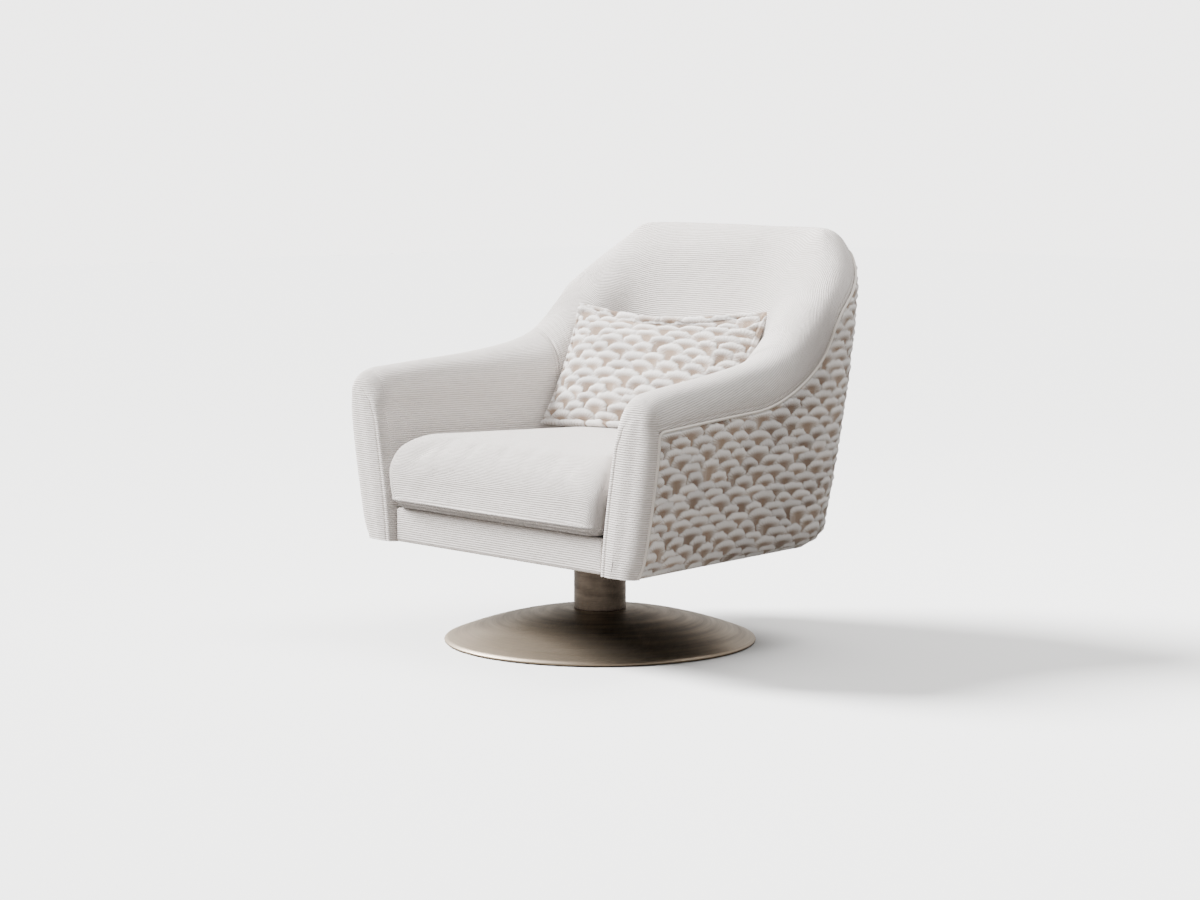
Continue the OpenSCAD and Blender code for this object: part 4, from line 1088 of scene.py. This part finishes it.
def pillow_shape(u, v, face):
    x = PILLOW_W / 2 * u * (1 - END_HOLLOW * (1 - v * v) * u * u)
    y = face * PILLOW_T * SLACK / 2 * np.clip((1 - u * u) * (1 - v * v), 0, 1) ** 0.42
    z = PILLOW_H / 2 * v * (1 - np.where(v > 0, TOP_HOLLOW, FOOT_HOLLOW) * (1 - u * u) * v * v)
    return np.stack([x, y, z], -1)


def to_pillow_place(points):
    c, s = math.cos(PILLOW_LEAN), math.sin(PILLOW_LEAN)
    x, y, z = points[..., 0], points[..., 1] * c - points[..., 2] * s, points[..., 1] * s + points[..., 2] * c
    c, s = math.cos(PILLOW_TURN), math.sin(PILLOW_TURN)
    return np.stack([x * c - y * s, x * s + y * c, z], -1) + PILLOW_AT


def two_sided(name, front, back, uv=None, fields=((), ())):
    """Two grids that share their border points, as one closed mesh, with their point numbers."""
    def joined(one, two):
        width = one.shape[2:]
        return np.concatenate([one.reshape(-1, *width), two[1:-1, 1:-1].reshape(-1, *width)])

    n, m = front.shape[:2]
    f = numbered(front.shape)
    b = f.copy()
    b[1:-1, 1:-1] = numbered((n - 2, m - 2), n * m)
    made = to_mesh(name, joined(front, back), quads(f) + [q[::-1] for q in quads(b)],
                   None if uv is None else joined(uv, uv), 75,
                   {k: joined(fields[0][k], fields[1][k]) for k in fields[0]})
    return made, f, b


def finer_grid(grid):
    """Twice as many points each way, on smooth curves through the old ones."""
    for axis in (0, 1):
        g = np.moveaxis(grid, axis, 0)
        pad = np.concatenate([2 * g[:1] - g[1:2], g, 2 * g[-1:] - g[-2:-1]])
        out = np.empty((2 * len(g) - 1,) + g.shape[1:])
        out[::2], out[1::2] = g, (-pad[:-3] + 9 * pad[1:-2] + 9 * pad[2:-1] - pad[3:]) / 16
        grid = np.moveaxis(out, 0, axis)
    return grid


gu, gv = (np.sin(g * SPACING) / math.sin(SPACING)
          for g in np.meshgrid(np.linspace(-1, 1, 119), np.linspace(-1, 1, 69), indexing="ij"))
rough, f_index, b_index = two_sided("pillow_filling", pillow_shape(gu, gv, -1), pillow_shape(gu, gv, 1))
filled = soft_body(rough, lambda p: np.full((len(p), 1), FILL_MOST))
bpy.data.objects.remove(rough)
front, back = finer_grid(filled[f_index]), finer_grid(filled[b_index])
uv = finer_grid(np.stack([gu * PILLOW_W / 2, gv * PILLOW_H / 2], -1))
edge = np.minimum(PILLOW_W / 2 - np.abs(uv[..., 0]), PILLOW_H / 2 - np.abs(uv[..., 1]))
rise = smooth((edge + 0.003) / 0.012) * (edge > 1e-6)
fields = []
for grid, other, seed in ((front, back, 31), (back, front, 32)):
    height, shades = scallops(uv[..., 0], uv[..., 1], seed)
    grid += normals_of(grid, other) * (height * rise)[..., None]
    fields.append(shades)
pillow, _, _ = two_sided("lumbar_pillow_cover", to_pillow_place(front), to_pillow_place(back), uv, fields)
dress(pillow, scalloped, "pillow", ["lumbar_pillow"])

# %% [markdown]
# ## Stitches
# Two rows of thread run beside the welt on the cream side, two run down each inside seam, and one
# closes each arm front. Geometry Nodes suit anything that repeats along a line: the path is resampled
# at the stitch pitch, a small rounded thread is set on each point and turned along the path.

# %% Stitch tree
def speckled(name, dark, light, scale, **finish):
    """A thread or a wire: two tones from fine noise."""
    made, tree = new_material(name)
    lay = add(tree, "ShaderNodeTexCoord").outputs["Object"]
    specks = add(tree, "ShaderNodeTexNoise", {"Vector": lay, "Scale": scale})
    paint = add(tree, "ShaderNodeMix", {0: specks, "A": colour(dark), "B": colour(light)}, data_type="RGBA")
    shader = add(tree, "ShaderNodeBsdfPrincipled", {"Base Color": paint.outputs[2], **finish})
    add(tree, "ShaderNodeOutputMaterial", {"Surface": shader})
    return made


def row_tree():
    """Instances of one rounded bar along a path: pitch, sizes and material are inputs."""
    made = bpy.data.node_groups.new("row_along_path", "GeometryNodeTree")
    sockets = {}
    for name, kind in (("Path", "Geometry"), ("Pitch", "Float"), ("Length", "Float"), ("Width", "Float"),
                       ("Height", "Float"), ("Material", "Material")):
        sockets[name] = made.interface.new_socket(name, in_out="INPUT", socket_type="NodeSocket" + kind).identifier
    made.interface.new_socket("Row", in_out="OUTPUT", socket_type="NodeSocketGeometry")
    given = add(made, "NodeGroupInput").outputs
    points = add(made, "GeometryNodeCurveToPoints", {"Curve": given["Path"], "Length": given["Pitch"]},
                 mode="LENGTH").outputs
    bar = add(made, "GeometryNodeMeshIcoSphere", {"Radius": 0.5, "Subdivisions": 1})
    size = add(made, "ShaderNodeCombineXYZ", {"X": given["Length"], "Y": given["Width"], "Z": given["Height"]})
    placed = add(made, "GeometryNodeInstanceOnPoints", {"Points": points["Points"], "Instance": bar,
                                                        "Rotation": points["Rotation"], "Scale": size})
    real = add(made, "GeometryNodeRealizeInstances", {"Geometry": placed})
    dressed = add(made, "GeometryNodeSetMaterial", {"Geometry": real, "Material": given["Material"]})
    add(made, "NodeGroupOutput", {"Row": dressed})
    return made, sockets


rows_tree, row_inputs = row_tree()


def rows(name, paths, pitch, size, material, slot):
    """Paths as one curve object, through the tree, to one plain mesh on the shell."""
    data = bpy.data.curves.new(name + "_path", "CURVE")
    data.dimensions = "3D"
    for path in paths:
        line = data.splines.new("POLY")
        line.points.add(len(path) - 1)
        line.points.foreach_set("co", np.concatenate([path, np.ones((len(path), 1))], 1).ravel())
    guide = linked(name + "_path", data)
    nodes = guide.modifiers.new("row", "NODES")
    nodes.node_group = rows_tree
    for word, value in zip(("Pitch", "Width", "Height", "Length", "Material"), (pitch, *size, material)):
        nodes[row_inputs[word]] = value
    mesh = bpy.data.meshes.new_from_object(evaluated(guide))
    bpy.data.objects.remove(guide)
    worked(mesh, outwards)
    mesh.polygons.foreach_set("use_smooth", [True] * len(mesh.polygons))
    dress(linked(name, mesh), material, "shell")


print("row tree inputs:", sorted(row_inputs))

# %% Stitch rows
STITCH_PITCH, STITCH_SIZE, FINE_STEP, PROUD = 0.0046, (0.0009, 0.0009, 0.0034), 0.002, 0.0006
# waxed polyester thread: twisted and slightly glossy, a shade darker than the cloth
thread = speckled("waxed_polyester_thread", "#b3aaa1", "#d8d0c7", 1500.0, Roughness=0.6)


def beside_seam(from_seam):
    """Half a line on the padding, at a distance in from the outer seam."""
    points = []
    for l in np.append(np.arange(0.030, PATH_L, 0.006), PATH_L):
        off, z, run, _ = section(l)
        points.append(place(l, *at_runs(run[-1] - from_seam, run, off, z)))
    return np.array(points)


stitch_paths = [whole(beside_seam(from_seam)) for from_seam in (0.0070, 0.0115)]
for side, _ in SIDES:
    for l in (SPLIT_L - 0.0062, SPLIT_L + 0.0062):
        off, z, run, crest_at = section(l)
        t_off, t_z = at_runs(np.arange(0.12, crest_at - 0.010, 0.004), run, off, z)
        stitch_paths.append(place(l, t_off - PROUD, t_z, side))
    off, z = (line[:len(line) // 2] for line in drawn_in(-NOSE_OUT, False, STITCH_IN))
    keep = (z > 0.205) & (z < crest(0.0) - 0.035)
    stitch_paths.append(place(-NOSE_OUT - PROUD, off[keep], z[keep], side))
rows("seam_stitches", [even(path, FINE_STEP) for path in stitch_paths], STITCH_PITCH, STITCH_SIZE, thread,
     "cream_cloth")

# %% [markdown]
# ## The base
# A spun metal dome on a ballast plate, with a tube for a column. Both are lacquered in antique bronze
# and brushed while they turn, so the scratches run in rings. The column's copy of the bronze is darker,
# with the shade under the seat painted into its colour. Spinning a profile in code gives rounder
# metal than the CAD facets, which a glossy finish would show. Fine rings and a grain stretched round
# the axis break the reflection up; anisotropy would need the same rings as tangents.

# %% Bronze
def turned_metal(name, light, dark, rough, vary):
    """Brushed on a lathe: scratches in rings round the axis, slightly uneven in colour and gloss."""
    made, tree = new_material(name)
    lie = add(tree, "ShaderNodeTexCoord").outputs["Object"]
    at = add(tree, "ShaderNodeSeparateXYZ", {0: lie}).outputs
    flat = add(tree, "ShaderNodeCombineXYZ", {"X": at["X"], "Y": at["Y"]})
    radius = add(tree, "ShaderNodeVectorMath", {0: flat}, operation="LENGTH").outputs["Value"]
    spin = add(tree, "ShaderNodeMath", {0: at["Y"], 1: at["X"]}, operation="ARCTAN2")
    ring = add(tree, "ShaderNodeCombineXYZ", {"X": radius, "Y": at["Z"], "Z": spin})
    groove, cloud = (
        add(tree, "ShaderNodeTexNoise", {
            "Vector": add(tree, "ShaderNodeMapping", {"Vector": ring, "Scale": scale}), "Scale": 1.0,
            "Detail": detail})
        for scale, detail in (((900.0, 900.0, 1.6), 3.0), ((60.0, 60.0, 1.2), 2.0)))
    wear = add(tree, "ShaderNodeMath", {0: groove, 1: 0.6, 2: cloud}, operation="MULTIPLY_ADD")
    tone, gloss = (add(tree, "ShaderNodeMapRange", {"Value": wear, "From Min": 0.5, "From Max": 1.1,
                                                    "To Min": low, "To Max": high})
                   for low, high in ((0.0, 1.0), (rough + vary, rough - vary)))
    paint = add(tree, "ShaderNodeMix", {0: tone, "A": colour(dark), "B": colour(light)}, data_type="RGBA")
    bump = add(tree, "ShaderNodeBump", {"Height": groove, "Strength": 0.5, "Distance": 0.00012})
    shader = add(tree, "ShaderNodeBsdfPrincipled", {
        "Base Color": paint.outputs[2], "Metallic": 1.0, "Roughness": gloss, "Normal": bump})
    add(tree, "ShaderNodeOutputMaterial", {"Surface": shader})
    return made


bronze = turned_metal("brushed_antique_bronze", "#c8b8a2", "#9b8d7d", 0.39, 0.05)
# painted shade: the column's bronze is the dome's finish made darker, for the shade under the seat
shade_darkened_bronze = turned_metal("brushed_bronze_painted_shade", "#786d62", "#564e45", 0.38, 0.05)
print("materials:", bronze.name, shade_darkened_bronze.name)

# %% Base pieces
RIM_R, RIM_H, DOME_H, DOME_T, BEAD_R, BOLT_R = 0.305, 0.007, 0.064, 0.002, 0.00275, 0.0086
COLUMN_R, COLUMN_T, COLUMN_EDGE = 0.051, 0.003, 0.0008
SEAT_R = COLUMN_R + 0.012
DOME_Z = (DOME_H + RIM_H - (RIM_R ** 2 - SEAT_R ** 2) / (DOME_H - RIM_H)) / 2
DOME_R = math.hypot(DOME_H - DOME_Z, SEAT_R)


def spun(name, profile, steps=256):
    """A profile of (radius, height) points turned once round the upright axis."""
    a = np.linspace(0, 2 * math.pi, steps, endpoint=False)
    radius, height = np.array(profile).T[..., None]
    grid = np.stack([radius * np.cos(a), radius * np.sin(a), height + 0 * a], -1)
    index = closed(numbered(grid.shape))
    return to_mesh(name, grid.reshape(-1, 3), quads(np.concatenate([index, index[:1]])), sharp=40)


def ball_cap(radii, ball, top):
    """Profile of a ball's cap, cut off flat where the column stands."""
    return [(r, min(top, DOME_Z + math.sqrt(ball ** 2 - r ** 2))) for r in radii]


edge_r, lower_r, bead_z, flat_r = RIM_R - BEAD_R, RIM_R - 2 * BEAD_R, RIM_H - BEAD_R, SEAT_R * 0.98
profile = ball_cap(np.append(np.linspace(BOLT_R, flat_r, 6), np.linspace(SEAT_R, edge_r, 46)), DOME_R, DOME_H)
profile += [(edge_r + BEAD_R * math.sin(a), bead_z + BEAD_R * math.cos(a)) for a in np.linspace(0.35, math.pi, 12)]
profile += [(lower_r, bead_z - BEAD_R * 0.6)]
profile += ball_cap(np.append(np.linspace(lower_r, SEAT_R, 30), np.linspace(flat_r, BOLT_R, 5)),
                    DOME_R - DOME_T, DOME_H - DOME_T)
dress(spun("bronze_dome", profile), bronze, "base", ["base_dome"])
top_z, bore_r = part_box("column_tube")[1][2], COLUMN_R - COLUMN_T
profile = [(bore_r, DOME_H), (COLUMN_R - COLUMN_EDGE, DOME_H), (COLUMN_R, DOME_H + COLUMN_EDGE)]
profile += [(COLUMN_R, z) for z in np.linspace(DOME_H + 0.004, top_z - 0.004, 9)]
profile += [(COLUMN_R, top_z - COLUMN_EDGE), (COLUMN_R - COLUMN_EDGE, top_z), (bore_r, top_z)]
profile += [(bore_r, z) for z in np.linspace(top_z, DOME_H, 9)[1:-1]]
dress(spun("bronze_column", profile, 160), shade_darkened_bronze, "base", ["column_tube"])
print("dome radius", RIM_R, "column top", round(top_z, 4))

# %% [markdown]
# ## Under the cushion and under the seat
# Lifting the cushion shows the deck: black cloth over thin padding. Under the frame a black dust
# cloth is stretched and stapled to the rails. Both are seldom seen, but they close the real seat.

# %% Plain woven black cloth
DECK_Z, DECK_T = 0.2348, 0.0216
DECK_LEVELS = [[0, 1], [0, 0.5], [0, 0.02], [0.08, 0.006], [0.3, 0], [0.72, 0.002], [0.93, 0.014], [0.99, 0.04],
               [1, 0.10], [1, 0.3], [1, 0.5], [1, 0.7], [1, 0.85], [1, 1]]


def plain_weave(name, light, dark, pitch):
    """A plain weave: threads go over and under each other at the pitch, with no gloss."""
    made, tree = new_material(name)
    lie = add(tree, "ShaderNodeTexCoord").outputs["Object"]
    at = add(tree, "ShaderNodeSeparateXYZ", {0: lie}).outputs
    both = add(tree, "ShaderNodeMath", {0: wave(tree, at["X"], pitch), 1: wave(tree, at["Y"], pitch)},
               operation="MULTIPLY")
    paint = add(tree, "ShaderNodeMix", {0: both, "A": colour(dark), "B": colour(light)}, data_type="RGBA")
    bump = add(tree, "ShaderNodeBump", {"Height": both, "Strength": 0.6, "Distance": 0.0003})
    shader = add(tree, "ShaderNodeBsdfPrincipled", {
        "Base Color": paint.outputs[2], "Roughness": 0.9, "Normal": bump, "Sheen Weight": 0.1})
    add(tree, "ShaderNodeOutputMaterial", {"Surface": shader})
    return made


def floor_line(l, off):
    """A line round the plan of the seat, at height 0."""
    return whole(place(l, off, 0.0, -1.0))


deck_weave = plain_weave("black_deck_cloth", "#3a3835", "#1d1c1b", 0.0016)
dust_weave = plain_weave("black_dust_cambric", "#2e2d2c", "#151515", 0.0012)
l = np.linspace(0.042, PATH_L, 70)
deck_edge = floor_line(l, inner(l, PAD_Z) - 0.0022)
deck = stacked("deck_cover", [mix(deck_edge, 0.0, share) + [0, 0, DECK_Z + DECK_T * up]
                              for up, share in DECK_LEVELS])
dress(deck, deck_weave, "shell", ["deck_pad"])

# %% Dust cloth and staples
DUST_Z, DUST_SAG, DUST_T, HOLE_R, STAPLE_Z = 0.1908, 0.0004, 0.0005, 0.063, 0.1899
STAPLE_PITCH, STAPLE_SIZE = 0.036, (0.0011, 0.0009, 0.0095)
l = np.linspace(0.028, PATH_L, 60)
dust_edge = floor_line(l, skin_plane(l, SHELL_Z) - 0.0025)
hole = dust_edge * HOLE_R / np.linalg.norm(dust_edge, axis=1, keepdims=True)
grid = np.array([mix(dust_edge, hole, share) + [0, 0, DUST_Z - DUST_SAG * math.sin(math.pi * share)]
                 for share in np.linspace(0, 1, 12)])
dust = to_mesh("dust_cloth", grid.reshape(-1, 3), quads(closed(numbered(grid.shape))))
thick = dust.modifiers.new("thickness", "SOLIDIFY")
thick.thickness, thick.offset = DUST_T, -1.0
applied(dust)
dress(dust, dust_weave, "shell", ["dust_cover"])

# galvanised staple wire: flattened steel, dull zinc
galvanised = speckled("galvanised_staple_wire", "#8d8f92", "#b9bbbd", 700.0, Metallic=1.0, Roughness=0.4)
staple_line = mix(dust_edge, 0.0, 0.03) + [0, 0, STAPLE_Z]
staple_line = np.concatenate([staple_line, staple_line[:1]])
rows("dust_staples", [even(staple_line, 0.004)], STAPLE_PITCH, STAPLE_SIZE, galvanised, "zinc_steel")

# %% [markdown]
# ## Finishes of the frame, the bearing and the filling
# Most of a chair is never seen: turned steel on the bearing's axis, zinc-plated fasteners, an iron
# ballast as it left the sand, beech rails, plywood boards, webbing and foam. These pieces keep their
# CAD shapes. Each gets the finish of its real stock, with grain that runs along the piece's length.

# %% Finishes of metal, plastic and felt
def plain_stock(name, light, dark, size, bump_depth, rough, stretch=(1.0, 1.0, 1.0), metallic=0.0):
    """One stock material: two tones and a bump from noise of a real grain size, stretched one way."""
    made, tree = new_material(name)
    lie = add(tree, "ShaderNodeTexCoord").outputs["Object"]
    lay = add(tree, "ShaderNodeMapping", {"Vector": lie, "Scale": tuple(f / size for f in stretch)})
    grain = add(tree, "ShaderNodeTexNoise", {"Vector": lay, "Scale": 1.0, "Detail": 4.0})
    tone = add(tree, "ShaderNodeMapRange", {"Value": grain, "From Min": 0.32, "From Max": 0.68})
    paint = add(tree, "ShaderNodeMix", {0: tone, "A": colour(dark), "B": colour(light)}, data_type="RGBA")
    gloss = add(tree, "ShaderNodeMapRange", {"Value": grain, "To Min": rough + 0.08, "To Max": rough - 0.08})
    bump = add(tree, "ShaderNodeBump", {"Height": grain, "Strength": 0.7, "Distance": bump_depth})
    shader = add(tree, "ShaderNodeBsdfPrincipled", {
        "Base Color": paint.outputs[2], "Metallic": metallic, "Roughness": gloss, "Normal": bump})
    add(tree, "ShaderNodeOutputMaterial", {"Surface": shader})
    return made


def finish_nodes(material, *names):
    for name in names:
        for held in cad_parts[name].material_slots:
            held.material = material
    print(material.name, "on", *names)


# turned mild steel: rings of tool marks, cool grey
finish_nodes(turned_metal("turned_mild_steel", "#aeb0b2", "#7b7d80", 0.36, 0.06), "column_foot", "column_head",
             "column_guide", "lower_race", "upper_race", "swivel_spindle")
# zinc plate: dull, faintly blue, with soft clouding
finish_nodes(plain_stock("zinc_plated_steel", "#bfc2c6", "#93979b", 0.0025, 0.00003, 0.34, metallic=1.0),
             "centre_bolt", "centre_washer", "bearing_balls", "spindle_washer", "plate_bolts", "tee_nuts")
# powder coat: black, half-matt, with a fine orange peel
finish_nodes(plain_stock("powder_coated_steel", "#2b2b2c", "#1e1e1f", 0.0011, 0.00008, 0.46), "swivel_plate",
             "spindle_clip")
# sand-cast iron: rough and dark, a little brown where it has begun to rust
finish_nodes(plain_stock("sand_cast_iron", "#4a4541", "#332d29", 0.0030, 0.00060, 0.70, metallic=0.7),
             "ballast_plate")
# moulded acetal: pale, waxy, nearly smooth
finish_nodes(plain_stock("moulded_acetal", "#dcc795", "#cfb985", 0.0060, 0.00003, 0.42), "upper_bushing",
             "lower_bushing", "ball_cage")
# pressed wool felt: no gloss, short matted fibres
finish_nodes(plain_stock("pressed_black_felt", "#2f2e2d", "#161615", 0.0009, 0.00050, 0.95), "felt_disc")

# %% Wood, webbing, foam and zip
ALONG, CORE_EASE = 0.05, 0.030


def beech(name, way):
    """Steamed beech: fine grain a millimetre or two wide, drawn out twenty times along the rail."""
    stretch = tuple(ALONG if axis == way else 1.0 for axis in range(3))
    return plain_stock(name, "#cda57c", "#a97d55", 0.0022, 0.00010, 0.62, stretch=stretch)


grains = [beech("beech_along_" + word, way) for way, word in enumerate(("width", "depth", "height"))]
for name in ("front_cross_rail", "rear_cross_rail", "front_seat_rail", "rear_seat_rail", "left_seat_rail",
             "right_seat_rail", "corner_blocks", "left_back_post", "right_back_post", "back_top_rail",
             "back_middle_rail", "left_corner_brace", "right_corner_brace"):
    low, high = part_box(name)
    finish_nodes(grains[int(np.argmax(np.array(high) - np.array(low)))], name)
# birch plywood: pale face veneer with its grain upright, rolled smooth
finish_nodes(plain_stock("birch_plywood", "#d8b98b", "#bb966a", 0.0026, 0.00008, 0.60, stretch=(1.0, 1.0, ALONG)),
             "left_arm_board", "right_arm_board")
# woven polypropylene webbing: ribs 2 mm apart
finish_nodes(plain_weave("black_woven_webbing", "#343434", "#161616", 0.0020), "seat_webs", "cross_webs")
# nylon zip tape, with coil teeth 2 mm apart
finish_nodes(plain_weave("nylon_coil_zip", "#d6d1c8", "#9b958b", 0.0020), "cushion_zip")
# cut foam: open cells half a millimetre across, pale yellow
cut_foam = plain_stock("cut_upholstery_foam", "#efe4bf", "#dccf9f", 0.0008, 0.00030, 0.93)
core = stacked("foam_core", [inside_cushion(h * 0.74 + 0.08, 0.04 + 0.96 * s, CORE_EASE) for h, s in LEVELS])
dress(core, cut_foam, "cushion", ["cushion_core"])
# cotton ticking: the plain bleached cover of the pillow's insert, drawn in from the filled cover
ticking = plain_weave("white_cotton_ticking", "#f0eee8", "#cfcbc2", 0.0010)
tucked = to_pillow_place(filled * (0.93, 0.78, 0.93))
insert, _, _ = two_sided("pillow_fibre_insert", tucked[f_index], tucked[b_index])
dress(insert, ticking, "pillow", ["pillow_insert"])
left_bare = [n for n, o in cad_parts.items() if not o.hide_render
             and not all(m.material and m.material.use_nodes for m in o.material_slots)]
print("nodes without a finish:", left_bare)

# %% Finish
low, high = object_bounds()
